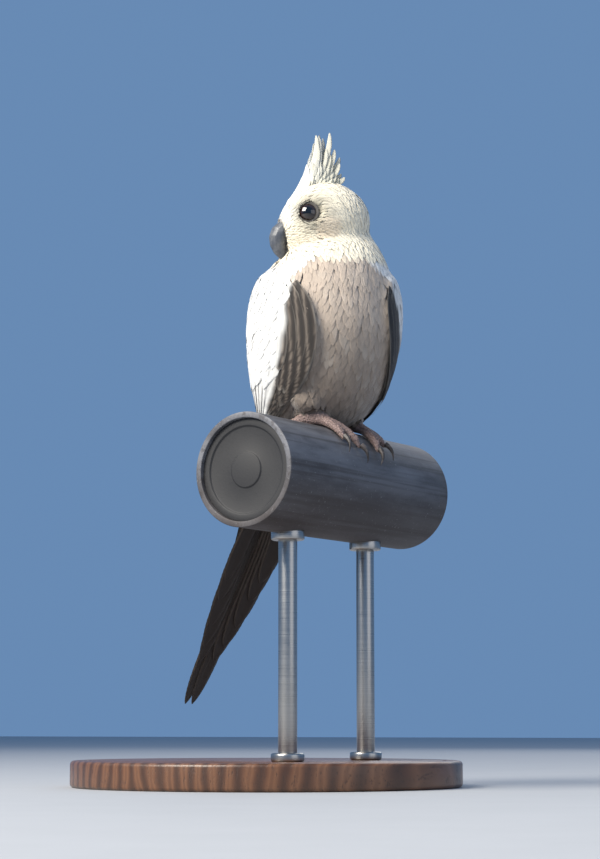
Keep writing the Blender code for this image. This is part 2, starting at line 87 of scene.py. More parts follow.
class Finish:
    """A material under construction: its shader, and one method that adds any node."""

    def __init__(self, name, **constants):
        self.material = bpy.data.materials.new(name)
        self.material.use_nodes = True
        self.tree = self.material.node_tree
        self.shader = self.tree.nodes["Principled BSDF"]
        for socket, value in constants.items():
            self.shader.inputs[socket.replace("_", " ").title()].default_value = value

    def node(self, kind, settings=None, values=None, output=0):
        made = self.tree.nodes.new("ShaderNode" + kind)
        for key, value in (settings or {}).items():
            if key == "stops":
                ramp = made.color_ramp.elements
                while len(ramp) < len(value):
                    ramp.new(1.0)
                for stop, (place, colour) in zip(ramp, value):
                    stop.position, stop.color = place, (*colour, 1.0)
            else:
                setattr(made, key, value)
        for key, value in (values or {}).items():
            if isinstance(value, Signal):
                self.tree.links.new(value.socket, made.inputs[key])
            else:
                made.inputs[key].default_value = value
        return Signal(self, made.outputs[output])

    def place(self, stretch=(1, 1, 1)):
        """Object coordinates, stretched along each axis."""
        spot = self.node("TexCoord", output="Object")
        return self.node("Mapping", values={"Vector": spot, "Scale": stretch})

    def noise(self, where, scale, detail=4.0, roughness=0.55):
        values = {"Vector": where, "Scale": scale, "Detail": detail, "Roughness": roughness}
        return self.node("TexNoise", values=values)

    def bands(self, where, direction, scale, distortion, detail_scale):
        """Wavy layers across one direction."""
        values = {"Vector": where, "Scale": scale, "Distortion": distortion, "Detail": 3.0,
                  "Detail Scale": detail_scale}
        return self.node("TexWave", {"wave_type": "BANDS", "bands_direction": direction}, values)

    def blend(self, first, second, share):
        """Mixes two colours."""
        first, second = (c if isinstance(c, Signal) else (*c, 1.0) for c in (first, second))
        return self.node("Mix", {"data_type": "RGBA"}, {"Factor": share, 6: first, 7: second}, 2)

    def set(self, bump=None, bump_height=0.0, **signals):
        """Links what changes over the surface to the shader, and gives the finished material."""
        for socket, signal in signals.items():
            self.tree.links.new(signal.socket, self.shader.inputs[socket.replace("_", " ").title()])
        if bump:
            normal = self.node("Bump", values={"Height": bump, "Distance": bump_height})
            self.tree.links.new(normal.socket, self.shader.inputs["Normal"])
        return self.material


def paint(red, green, blue):
    """A colour given as on a paint card, 0 to 255, as the linear light it reflects."""
    return tuple(((c / 255 + 0.055) / 1.055) ** 2.4 for c in (red, green, blue))


def begin(*objs):
    """Back to object mode with only these objects selected, the first of them active."""
    if bpy.context.mode != "OBJECT":
        bpy.ops.object.mode_set(mode="OBJECT")
    bpy.ops.object.select_all(action="DESELECT")
    for obj in objs:
        obj.select_set(True)
    if objs:
        bpy.context.view_layer.objects.active = objs[0]


def pick(obj, kind, test=lambda part: True):
    """Opens obj in edit mode with the faces or edges selected that pass a test."""
    begin(obj)
    bpy.ops.object.mode_set(mode="EDIT")
    bpy.ops.mesh.select_mode(type=kind)
    bpy.ops.mesh.select_all(action="DESELECT")
    shape = bmesh.from_edit_mesh(obj.data)
    for part in shape.faces if kind == "FACE" else shape.edges:
        if test(part):
            part.select_set(True)
    bmesh.update_edit_mesh(obj.data)


def level(edge):
    return abs(edge.verts[0].co.z - edge.verts[1].co.z) < 1e-6


def fix_place():
    """Moves the object's place, turn and scale into its mesh."""
    bpy.ops.object.transform_apply(location=True, rotation=True, scale=True)


def cylinder(low, high, radius, sides=64, turn=0.0, ends="NGON"):
    """A cylinder between two points, upright or turned to lie along X."""
    begin()
    bpy.ops.mesh.primitive_cylinder_add(vertices=sides, radius=radius, depth=(high - low).length,
                                        end_fill_type=ends, location=(low + high) / 2, rotation=(0, turn, 0))
    fix_place()
    return bpy.context.object


def finish_piece(obj, name, look, stands_for=(), smooth=35):
    """Places the finished piece's shape in its mesh, dresses it and fixes it to the model."""
    begin(obj)
    obj.name = obj.data.name = name
    fix_place()
    if smooth:
        bpy.ops.object.shade_smooth_by_angle(angle=math.radians(smooth))
    obj.data.materials.clear()
    obj.data.materials.append(look)
    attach(obj, "root")
    if stands_for:
        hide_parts(*stands_for)
    obj.select_set(False)


walnut = Finish("oiled walnut", coat_weight=0.25, coat_roughness=0.22)
across_grain = walnut.place((9, 95, 60))
rings = walnut.bands(across_grain, "Y", 0.55, 7.0, 0.7)
pores = walnut.noise(walnut.place((60, 1500, 400)), 1.0, 3.0, 0.7)
wood = walnut.node("ValToRGB", {"stops": ((0.0, paint(58, 37, 25)), (0.45, paint(92, 60, 40)),
                                          (0.8, paint(118, 80, 54)), (1.0, paint(80, 51, 34)))},
                   {0: rings * 0.75 + walnut.noise(across_grain, 0.4) * 0.3})
wood = walnut.blend(wood, paint(40, 25, 17), pores.ramp(0.56, 0.7) * 0.55)
walnut_look = walnut.set(Base_Color=wood, Roughness=pores * 0.25 + 0.3,
                         bump=pores.ramp(0.7, 0.5), bump_height=0.06 * MM)

base_radius = (base_high.x - base_low.x) / 2
bead_radius = base_radius - BEAD_IN - BEAD_WIDE / 2
axis = Vector((0, 0, 1))
base = cylinder(base_low.z * axis, base_high.z * axis, base_radius, sides=160)
pick(base, "FACE", lambda face: face.normal.z > 0.9)
for width in (BEAD_IN, BEAD_WIDE / 2, BEAD_WIDE / 2):
    bpy.ops.mesh.inset(thickness=width)
begin(base)
for vertex in base.data.vertices:
    if abs(vertex.co.xy.length - bead_radius) < 0.2 * MM and vertex.co.z > base_high.z - MM:
        vertex.co.z -= BEAD_DEEP
rim = base_radius - 0.1 * MM
pick(base, "EDGE", lambda edge: level(edge) and min(v.co.xy.length for v in edge.verts) > rim)
bpy.ops.mesh.bevel(offset=BASE_RIM, segments=5, profile=0.5)
finish_piece(base, "walnut_base", walnut_look, ["stand_base"])

# ---------------------------------------------------------------- Rods
# Two bright steel rods carry the rail. Each stands in a small turned collar on the base and
# is fixed under the rail by another.

SIDES = {"left": 1, "right": -1}
COLLAR_RADIUS, COLLAR_TALL, COLLAR_RIM = 6.2 * MM, 3.2 * MM, 0.8 * MM
SADDLE_DROP, SADDLE_SUNK, SADDLE_RIM = 2.56 * MM, 1.2 * MM, 0.6 * MM     # the collar under the rail
ROD_SUNK, ROD_RIM = 0.2 * MM, 0.3 * MM
steel = Finish("bright steel", metallic=1.0)
turned = steel.noise(steel.place((40, 40, 2600)), 1.0, 2.0)
steel_look = steel.set(Base_Color=steel.blend(paint(150, 148, 145), paint(190, 188, 184), turned),
                       Roughness=turned * 0.22 + 0.2, bump=turned, bump_height=0.01 * MM)
rail_low, rail_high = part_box("perch_rail")
rail_middle = (rail_low + rail_high) / 2
for side in SIDES:
    rod_low, rod_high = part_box(f"stand_rod_{side}")
    middle = (rod_low + rod_high) / 2
    turnings = (
        # name, radius, lowest and highest point, rim
        ("rod", (rod_high.x - rod_low.x) / 2, base_high.z - ROD_SUNK, rod_high.z, ROD_RIM),
        ("rod_collar_low", COLLAR_RADIUS, base_high.z, base_high.z + COLLAR_TALL, COLLAR_RIM),
        ("rod_collar_high", COLLAR_RADIUS, rail_low.z - SADDLE_DROP, rail_low.z + SADDLE_SUNK, SADDLE_RIM))
    for name, radius, low, high, rim in turnings:
        piece = cylinder(Vector((middle.x, middle.y, low)), Vector((middle.x, middle.y, high)), radius)
        pick(piece, "EDGE", level)
        bpy.ops.mesh.bevel(offset=rim, segments=3, profile=0.5)
        finish_piece(piece, f"{name}_{side}", steel_look,
                     [f"stand_rod_{side}"] if name == "rod" else ())

# ---------------------------------------------------------------- Perch
# A cut length of galvanised fence rail, a steel tube, dulled and streaked by weather: blotches of
# zinc bloom, dark streaks and pale specks, and painted shade that darkens its underside towards
# brown-grey. A black rubber plug closes each end inside its rim.

RAIL_WALL, RAIL_EDGE = 2.2 * MM, 0.35 * MM
PLUG_EDGE, PLUG_GAP = 0.18 * MM, 0.05 * MM
PLUG_RINGS = ((2.6, 0.0), (0.5, -0.6), (9.0, 0.0), (0.4, 0.5))      # width and step up, in mm from the rim in
rail_radius = (rail_high.z - rail_low.z) / 2
zinc = Finish("weathered zinc")
bloom = zinc.noise(zinc.place((14, 60, 60)), 1.6, 6.0, 0.65)
speck = zinc.noise(zinc.place((900, 900, 900)), 1.0, 3.0, 0.7)
streak = zinc.noise(zinc.place((8, 420, 420)), 1.0, 4.0, 0.6)
height = zinc.node("SeparateXYZ", values={0: zinc.place()}, output=2)
# painted shade: the rail's lower side is darkened towards brown-grey and made less metallic
under = 1 - height.ramp(rail_middle.z - rail_radius * 0.7, rail_middle.z + rail_radius * 0.5)
grey = zinc.blend(paint(88, 88, 92), paint(122, 123, 128), bloom.ramp(0.35, 0.65))
for colour, share in ((paint(72, 68, 68), streak.ramp(0.5, 0.68) * 0.6), (paint(62, 54, 51), under * 0.7),
                      (paint(170, 170, 170), speck.ramp(0.62, 0.72) * 0.35)):
    grey = zinc.blend(grey, colour, share)
zinc_look = zinc.set(Base_Color=grey, Roughness=bloom * 0.22 + streak * 0.15 + 0.45,
                     Metallic=0.65 - bloom * 0.35 - under * 0.25,
                     bump=speck * 0.5 + streak * 0.4 + bloom * 0.6, bump_height=0.12 * MM)


def modify(obj, kind, **settings):
    """Gives an object one modifier and applies it."""
    begin(obj)
    added = obj.modifiers.new(kind, kind)
    for key, value in settings.items():
        setattr(added, key, value)
    bpy.ops.object.modifier_apply(modifier=added.name)


def along_x(low, high):
    """The ends of a box's middle line along X."""
    middle = (low + high) / 2
    return Vector((low.x, middle.y, middle.z)), Vector((high.x, middle.y, middle.z))


rail = cylinder(*along_x(rail_low, rail_high), rail_radius, sides=128, turn=math.pi / 2, ends="NOTHING")
modify(rail, "SOLIDIFY", thickness=RAIL_WALL, offset=-1.0)
modify(rail, "BEVEL", width=RAIL_EDGE, segments=3, limit_method="ANGLE")
finish_piece(rail, "rail", zinc_look, ["perch_rail"])

rubber = Finish("black rubber")
grit = rubber.noise(rubber.place((1400, 1400, 1400)), 1.0, 2.0)
rubber_look = rubber.set(Base_Color=rubber.blend(paint(26, 26, 28), paint(44, 44, 46), grit),
                         Roughness=grit * 0.2 + 0.5, bump=grit, bump_height=0.03 * MM)
for side, end in SIDES.items():
    plug = cylinder(*along_x(*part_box(f"perch_plug_{side}")), rail_radius - RAIL_WALL - PLUG_GAP,
                    sides=96, turn=math.pi / 2)
    pick(plug, "FACE", lambda face: face.normal.x * end > 0.9)
    for width, rise in PLUG_RINGS:
        bpy.ops.mesh.inset(thickness=width * MM, depth=rise * MM)
    pick(plug, "EDGE", lambda edge: edge.calc_face_angle(0) > 0.6)
    bpy.ops.mesh.bevel(offset=PLUG_EDGE, segments=2, profile=0.5)
    finish_piece(plug, f"plug_{side}", rubber_look, [f"perch_plug_{side}"])

# ---------------------------------------------------------------- Skin
# The bird's one skin, under all of its feathers, from the face to the toes. It is a little
# smaller than the feathered bird by the depth of the coat, and bare only on the feet.

HIP_YAW, CHEST_YAW = 25.0, 42.0                     # degrees from -Y towards the bird's right
HIP_HEIGHT, CHEST_HEIGHT = 8.0, 60.0                # mm over the rail, where the twist begins and ends
SPINE = ((-60, -72.5), (-15, -33), (1, -20), (20, -9), (41, -2), (61, 1.5), (85, 3))  # height, forward
HEAD_PITCH, HEAD_SCALE = -12.0, 1.09
EYE_FORWARD, EYE_UP = 6.6, 2.6                      # mm from the middle of the skull
GROWN, VOXEL = 0.55 * MM, 0.8 * MM                  # swells each part so that they meet in one skin
WING_TIP_BARE = -4.0                                # mm, below which the wing is feathers alone
DOUBLES = 0.002 * MM
FLESH = ["head", "neck", "trunk", "thigh_left", "thigh_right", "foot_left", "foot_right",
         "wing_left", "wing_right"]
UP = np.array((0, 0, 1.0))
rail_top = np.array((rail_middle.x, rail_middle.y, rail_high.z))


def step(low, high, values):
    t = np.clip((values - low) / (high - low), 0, 1)
    return t * t * (3 - 2 * t)


def directions(heights):
    """The bird's left and forward directions at each height in mm over the rail."""
    yaw = np.radians(HIP_YAW + (CHEST_YAW - HIP_YAW) * step(HIP_HEIGHT, CHEST_HEIGHT, heights))
    flat = np.zeros_like(yaw)
    return np.stack([np.cos(yaw), -np.sin(yaw), flat], -1), np.stack([-np.sin(yaw), -np.cos(yaw), flat], -1)


def to_body(points):
    """World points as lateral (to the bird's left), forward and height over the rail, in mm."""
    offset = (points - rail_top) / MM
    left, ahead = directions(offset[..., 2])
    return (offset * left).sum(-1), (offset * ahead).sum(-1), offset[..., 2]


def from_body(lateral, forward, heights):
    lateral, forward, heights = np.broadcast_arrays(lateral, forward, np.asarray(heights, float))
    left, ahead = directions(heights)
    return rail_top + (left * lateral[..., None] + ahead * forward[..., None] + UP * heights[..., None]) * MM


def middle_of(node):
    low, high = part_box(node)
    return (low + high) / 2


face_left = (middle_of("eye_left") - middle_of("eye_right")).normalized()
face_up = Matrix.Rotation(math.radians(-HEAD_PITCH), 3, face_left) @ Vector(UP)
face_ahead = face_left.cross(face_up)
head_axes = np.array((face_left, face_ahead, face_up))
skull = np.array((middle_of("eye_left") + middle_of("eye_right")) / 2 - (
    face_ahead * EYE_FORWARD + face_up * EYE_UP) * HEAD_SCALE * MM)


def to_head(points):
    """World points as lateral, forward and up from the middle of the skull, in mm of the head's tables."""
    offset = (points - skull) / (MM * HEAD_SCALE)
    return tuple(offset @ axis for axis in head_axes)


def from_head(lateral, forward, up):
    return skull + (np.stack(np.broadcast_arrays(lateral, forward, up), -1) @ head_axes) * HEAD_SCALE * MM


def read(items, key, width=3, kind=float):
    """One value of each of a mesh's vertices, triangles or corners, as rows of an array."""
    values = np.empty(len(items) * width, kind)
    items.foreach_get(key, values)
    return values.reshape(-1, width)


def mesh_numbers(obj):
    """Vertex places, vertex normals and triangles of an object."""
    mesh = obj.data
    mesh.calc_loop_triangles()
    return (read(mesh.vertices, "co"), read(mesh.vertices, "normal"),
            read(mesh.loop_triangles, "vertices", 3, np.int32))


def surface_of(obj):
    places, _, triangles = mesh_numbers(obj)
    return BVHTree.FromPolygons(places.tolist(), triangles.tolist())


def copy_of(node):
    """A loose copy of a node, its doubled points merged."""
    twin = nodes[node].copy()
    twin.data = nodes[node].data.copy()
    twin.parent = None
    for key in list(twin.keys()):
        del twin[key]
    bpy.context.scene.collection.objects.link(twin)
    pick(twin, "FACE")
    bpy.ops.mesh.remove_doubles(threshold=DOUBLES)
    begin(twin)
    return twin


def join(parts):
    begin(*parts)
    bpy.ops.object.join()
    return bpy.context.object


def nearest(tree, points):
    """The nearest places on a surface and the outward normals there."""
    found = [tree.find_nearest(Vector(p)) for p in points.tolist()]
    return np.array([f[0] for f in found]), np.array([f[1] for f in found])


def distance_to(tree, points):
    return np.array([tree.find_nearest(Vector(p))[3] for p in points.tolist()])


flesh_parts = [copy_of(node) for node in FLESH]
for part in flesh_parts:
    if part.name.startswith("wing"):
        pick(part, "FACE")
        bpy.ops.mesh.bisect(plane_co=rail_top + UP * WING_TIP_BARE * MM, plane_no=UP, use_fill=True,
                            clear_inner=True)
    modify(part, "DISPLACE", strength=GROWN, mid_level=0.0)
skin = join(flesh_parts)
modify(skin, "REMESH", mode="VOXEL", voxel_size=VOXEL)
near_part = {node: surface_of(nodes[node]) for node in FLESH}


def regions(points):
    """For each point, which flesh node it belongs to."""
    gaps = np.stack([distance_to(near_part[node], points) for node in FLESH])
    return np.array(FLESH)[gaps.argmin(0)]


def within(region, *parts):
    """Which of the regions are of these parts of the bird, on either side."""
    return np.any([np.char.startswith(region, part) for part in parts], axis=0)


def coat_depth(points, region):
    """How deep the feathers are over the skin, in metres."""
    lateral, forward, up = to_head(points)
    depth = 0.4 + 0.8 * step(6, 30, np.sqrt(lateral ** 2 + (forward - 14) ** 2 + (up + 3) ** 2))
    for part, deep in (("trunk", 1.4), ("neck", 1.4), ("wing", 1.5), ("thigh", 1.2), ("foot", 0.0)):
        depth[within(region, part)] = deep
    return depth * MM


places, _, _ = mesh_numbers(skin)
skin_region = regions(places)
SMOOTHING = (("all", 4, skin_region != ""), ("wings", 6, within(skin_region, "wing")),
             ("body", 28, within(skin_region, "neck", "trunk")))
for name, turns, chosen in SMOOTHING:
    skin.vertex_groups.new(name=name).add(np.flatnonzero(chosen).tolist(), 1.0, "REPLACE")
    modify(skin, "SMOOTH", factor=0.5, iterations=turns, vertex_group=name)
places, normals, _ = mesh_numbers(skin)
sunk = places - normals * (GROWN + coat_depth(places, skin_region))[:, None]
skin.data.vertices.foreach_set("co", sunk.ravel())
modify(skin, "SMOOTH", factor=0.5, iterations=4)

# ---------------------------------------------------------------- Plumage markings and painted shade
# A pale bird of the fawn and cream kind. Cream head and hood down to a clean line over the
# breast, taupe body, a broad white patch on the right wing and a small one on the left shoulder,
# brown streaks in front of them, dark under the tail. Painted shade is laid into these colours: on
# the belly, under the tail and on the thighs, round the eye, in the streaks' dark lines and over
# the left wing, which keeps its white only at the shoulder.

CREAM, FOREHEAD, PEACH = paint(254, 243, 217), paint(250, 246, 236), paint(250, 230, 205)
# the belly and vent colours are the bird's darker underparts, darkened further by painted shade under the
# body
TAUPE, BELLY_WITH_SHADE, VENT_WITH_SHADE = paint(200, 183, 166), paint(148, 133, 119), paint(112, 100, 90)
# the flight brown is darkened by painted shade between the feathers; the dark brown is mostly painted shade,
# in the streaks' dark lines and over the left wing's front
MANTLE, FLIGHT, DARK_BROWN_AND_SHADE = paint(136, 121, 107), paint(50, 41, 35), paint(24, 19, 16)
WHITE, PALE_STREAK, PALE_EDGE = paint(244, 243, 239), paint(178, 163, 147), paint(222, 212, 198)
PAINTED_EYE_SHADE, APRICOT, LEG_SKIN = paint(146, 142, 124), paint(243, 214, 182), paint(150, 128, 122)
HOOD_LINE = 59.5                 # mm over the rail, where the cream hood ends
STREAKS_END = 80                 # degrees round the body, where the streaked feathers end
# Where the white patch begins: degrees round the body at each height in mm over the rail.
PATCH_FRONT = ((-25, 0, 12, 25, 45, 54, 60), (96, 78, 65, 57, 50, 42, 28))
PATCH_BACK = 128
# painted shade: the skin shows only in the gaps between feathers, and is darker than the feathers to stand
# for the shade there
SKIN_SHADE = 0.8                 # the skin is a little darker than the feathers over it


def mottle(points, size, seed):
    """Smooth random patches about size mm across, from -1 to 1."""
    rng = np.random.default_rng(seed)
    waves = rng.normal(size=(9, 3)) / (size * MM) * 1.6
    turns = rng.uniform(0, 2 * math.pi, 9)
    return np.sin(points @ waves.T + turns).sum(-1) / 4.2


def around_body(points):
    """Height over the rail in mm, and degrees round the body from the breast to the back."""
    lateral, forward, heights = to_body(points)
    middle = np.interp(heights, *zip(*SPINE))
    return heights, np.degrees(np.arctan2(np.abs(lateral), forward - middle))


def over(colours, colour, share):
    share = np.broadcast_to(np.clip(share, 0, 1), len(colours))[:, None]
    return colours * (1 - share) + np.array(colour) * share


def white_patch(points):
    """How white the plumage is: broad on the right wing, and only at the shoulder on the left, where painted
    shade takes the rest of the white.
    """
    heights, angle = around_body(points)
    rough = mottle(points, 5, 3)
    white = step(-3, 3, angle - np.interp(heights, *PATCH_FRONT) + 2.5 * rough)
    white *= 1 - step(-8, 8, angle - PATCH_BACK + 4 * rough)
    # painted shade: on the shaded left wing the white is kept only at the shoulder, and the rest is left dark
    left_shoulder = np.where(to_body(points)[0] > 0, step(22, 40, heights + 2 * rough), 1.0)
    return white * step(-30, -8, heights) * left_shoulder * 0.96


def wing_colours(points):
    heights, angle = around_body(points)
    # the streaks' dark lines are partly painted shade between the wing and the breast and between the
    # feathers
    streaks = np.sin(angle * 0.95 + 0.9 * mottle(points, 14, 4))
    # painted shade: the front of the left wing, on its shaded side, is darkened
    shaded_left_front = (to_body(points)[0] > 0) * (1 - step(84, 104, angle))
    colours = np.tile(FLIGHT, (len(points), 1))
    for colour, share in ((PALE_STREAK, step(0.6, 0.98, streaks) * 0.4 * (angle < STREAKS_END)),
                          (DARK_BROWN_AND_SHADE, step(0.1, 0.9, -streaks) * 0.8 * (angle < STREAKS_END)),
                          (MANTLE, step(118, 146, angle) * step(-12, 8, heights)),
                          (DARK_BROWN_AND_SHADE, 0.6 * shaded_left_front), (WHITE, white_patch(points))):
        colours = over(colours, colour, share)
    return colours


def body_colours(points):
    heights, angle = around_body(points)
    lateral, forward, up = to_head(points)
    rough, fine = mottle(points, 7, 1), mottle(points, 2.2, 2)
    head = step(64, 72, heights)
    eye_gap = np.hypot(forward - EYE_FORWARD + 1.2, up - EYE_UP + 0.2) + 0.5 * fine
    cheek_gap = np.hypot(forward - 0.5, up + 5.0) + 0.6 * fine
    colours = np.tile(TAUPE, (len(points), 1))
    for colour, share in (
            # the belly and vent shares darken the underparts towards the bottom, partly as painted shade
            (BELLY_WITH_SHADE, 1 - step(10, 44, heights + 3 * rough)), (VENT_WITH_SHADE, 1 - step(-6, 16, heights + 2 * rough)),
            (MANTLE, step(84, 124, angle)), (PALE_EDGE, 0.22 * step(0.2, 1, fine)),
            (WHITE, white_patch(points) * step(30, 40, heights)),
            (CREAM, step(-0.9, 0.9, heights - HOOD_LINE - 0.7 * rough)),
            (FOREHEAD, head * step(6, 12, forward) * step(-2, 5, up)),
            (PEACH, 0.7 * head * step(0, 8, forward) * (1 - step(-11, -5, up))),
            # painted shade round and behind the eye, under the brow
            (PAINTED_EYE_SHADE, head * 0.75 * (1 - step(3.6, 9.0, eye_gap)) * (np.abs(lateral) > 4)),
            (APRICOT, head * 0.42 * (1 - step(2.5, 5.5, cheek_gap)) * (np.abs(lateral) > 6))):
        colours = over(colours, colour, share)
    return colours


def plumage(points, region):
    colours = body_colours(points)
    on_wing, on_thigh = within(region, "wing"), within(region, "thigh")
    colours[on_wing] = wing_colours(points[on_wing])
    # painted shade: the thighs, low under the belly, are darkened towards the vent colour
    colours[on_thigh] = over(colours[on_thigh], VENT_WITH_SHADE, 0.6)
    colours[within(region, "foot")] = LEG_SKIN
    return colours


def add_colours(mesh, colours):
    layer = mesh.color_attributes.new("plumage", "FLOAT_COLOR", "POINT")
    layer.data.foreach_set("color", np.c_[colours, np.ones(len(colours))].ravel())


# The skin is dressed once its colours are known: the markings and painted shade of the feathers over it.
places, _, _ = mesh_numbers(skin)
add_colours(skin.data, plumage(places, regions(places)) * SKIN_SHADE)
pick(skin, "FACE")
bpy.ops.uv.smart_project(angle_limit=1.15, island_margin=0.004, scale_to_bounds=True)
begin()
skin.data.uv_layers[0].name = "OFBake"

hide = Finish("bird skin", roughness=0.62)
hide_colour = hide.node("Attribute", {"attribute_name": "plumage"}, output="Color")
scutes = hide.node("TexVoronoi", {"feature": "DISTANCE_TO_EDGE"}, {"Vector": hide.place(), "Scale": 1100.0})
creases = scutes.ramp(0.0, 0.12)
hide_look = hide.set(Base_Color=hide.blend(hide_colour, paint(96, 78, 72), (1 - creases) * 0.35),
                     bump=creases, bump_height=0.12 * MM)
finish_piece(skin, "skin", hide_look, FLESH, smooth=None)
skin.data.shade_smooth()

# ---------------------------------------------------------------- Body feathers
# Small soft vanes that overlap like tiles, from hair-like ones round the bill to broad ones on
# the breast and back. Each grows from the skin and lies the way the coat is preened.

TUFT_PATCH = 0.003                # width of a tuft's patch on the skin's unwrap
TRIES, LEAST_GAP = 90000, 0.3     # roots tried before they are thinned, and the smallest gap in mm
FACE_GAP = 0.9                    # roots on the head that are nearer than this, in mm, are the face's
LEAST_DEPTH = 0.5 * MM            # the thinnest that the coat gets
COAT_END, COVERTS_END, SHOULDER, HOOD_ROOTS, HEAD_LINE = -17, 24, 50, 58, 67      # mm over the rail
COVERTS_FRONT, BREAST_END, BACK_START = 48, 75, 95       # degrees round the body
BESIDE_WING, WING_OVER = 3.0 * MM, 4 * MM   # no back feathers this near a wing, none this deep under it
BARE_RING, BILL_GAP = 3.9 * MM, 0.35 * MM   # bare skin round the middle of the eye and beside the bill
STATIONS = 6                      # points along each feather's path
skin_surface = surface_of(skin)


def unit(vectors):
    return vectors / np.maximum(np.linalg.norm(vectors, axis=-1, keepdims=True), 1e-12)


def lie_of_coat(points, region):
    """The way the feathers point: back from the bill over the head, then down to the tail."""
    heights = to_body(points)[2]
    _, ahead = directions(heights)
    lean = np.radians(np.interp(heights, (-20, 0, 20, 40, 60), (46, 36, 26, 12, 3)))[:, None]
    tailward = -ahead * np.sin(lean) - UP * np.cos(lean)
    tailward = np.where(within(region, "wing")[:, None], unit(tailward - 0.35 * ahead), tailward)
    from_bill = points - from_head(0.0, 15.0, -2.0)
    share = step(13, 36, np.linalg.norm(from_bill, axis=-1) / MM)[:, None]
    return unit(unit(from_bill) * (1 - share) + tailward * share)


def scatter(spacing_of, allowed, seed):
    """Places over the skin that keep their distance, and their spots on its unwrap."""
    rng = np.random.default_rng(seed)
    places, _, triangles = mesh_numbers(skin)
    corners = read(skin.data.loop_triangles, "loops", 3, np.int32)
    unwrap = read(skin.data.uv_layers["OFBake"].uv, "vector", 2, np.float32)[corners]
    a, b, c = (places[triangles[:, i]] for i in range(3))
    area = np.linalg.norm(np.cross(b - a, c - a), axis=1)
    weight = area / np.maximum(spacing_of((a + b + c) / 3), LEAST_GAP) ** 2
    chosen = rng.choice(len(area), TRIES, p=weight / weight.sum())
    share = rng.dirichlet((1, 1, 1), len(chosen))[:, :, None]
    points = (places[triangles[chosen]] * share).sum(1)
    kept = allowed(points)
    points, spots = points[kept], (unwrap[chosen] * share).sum(1)[kept]
    tree = KDTree(len(points))
    for i, point in enumerate(points.tolist()):
        tree.insert(point, i)
    tree.balance()
    reach = np.broadcast_to(spacing_of(points) * MM, len(points))
    free, roots = np.ones(len(points), bool), []
    for i, point in enumerate(points.tolist()):
        if free[i]:
            roots.append(i)
            for _, j, _ in tree.find_range(point, reach[i]):
                free[j] = False
    return points[roots], spots[roots]


def follow(points, lengths, heading, stations):
    """Paths over the skin from each point, and its normals along them."""
    points, normals = nearest(skin_surface, points)
    pace = np.broadcast_to(lengths / (stations - 1), len(points))[:, None]
    path, outward = [points], [normals]
    for _ in range(stations - 1):
        ahead = heading(points)
        ahead = unit(ahead - (ahead * normals).sum(-1, keepdims=True) * normals)
        points, new_normals = nearest(skin_surface, points + ahead * pace)
        normals = unit(normals * 0.35 + new_normals * 0.65)
        path.append(points)
        outward.append(normals)
    return np.stack(path, 1), np.stack(outward, 1)


def outline_of(root, swell, tip, power, round_off, least, quill=False):
    """Half width along a feather: it widens from its root until swell, and rounds off from tip on."""
    def width(t):
        grown = step(0.0, swell, t) if quill else np.sin(np.pi / 2 * np.minimum(t / swell, 1))
        ended = np.clip(1 - (np.maximum(t - tip, 0) / (1 - tip)) ** power, least, 1) ** round_off
        return (root + (1 - root) * grown) * ended
    return width


outline_soft = outline_of(0.5, 0.4, 0.45, 2.0, 0.75, 0.02)


def closed_vanes(name, shape):
    """A mesh of closed tubes, one for each feather, from its rings of points: the mesh and its corners."""
    count, rings, sides = shape.shape[:3]
    vertex = np.arange(count * rings * sides).reshape(count, rings, sides)
    turned = np.roll(vertex, -1, axis=2)
    quads = np.stack((vertex[:, :-1], turned[:, :-1], turned[:, 1:], vertex[:, 1:]), -1).reshape(-1, 4)
    caps = np.concatenate((vertex[:, 0, ::-1], vertex[:, -1]))
    corner = np.concatenate((quads.ravel(), caps.ravel())).astype(np.int32)
    sizes = np.r_[np.full(len(quads), 4), np.full(len(caps), sides)]
    mesh = bpy.data.meshes.new(name)
    mesh.vertices.add(vertex.size)
    mesh.vertices.foreach_set("co", shape.ravel())
    mesh.loops.add(len(corner))
    mesh.loops.foreach_set("vertex_index", corner)
    mesh.polygons.add(len(sizes))
    mesh.polygons.foreach_set("loop_start", (np.cumsum(sizes) - sizes).astype(np.int32))
    mesh.update(calc_edges=True)
    mesh.shade_smooth()
    return mesh, corner


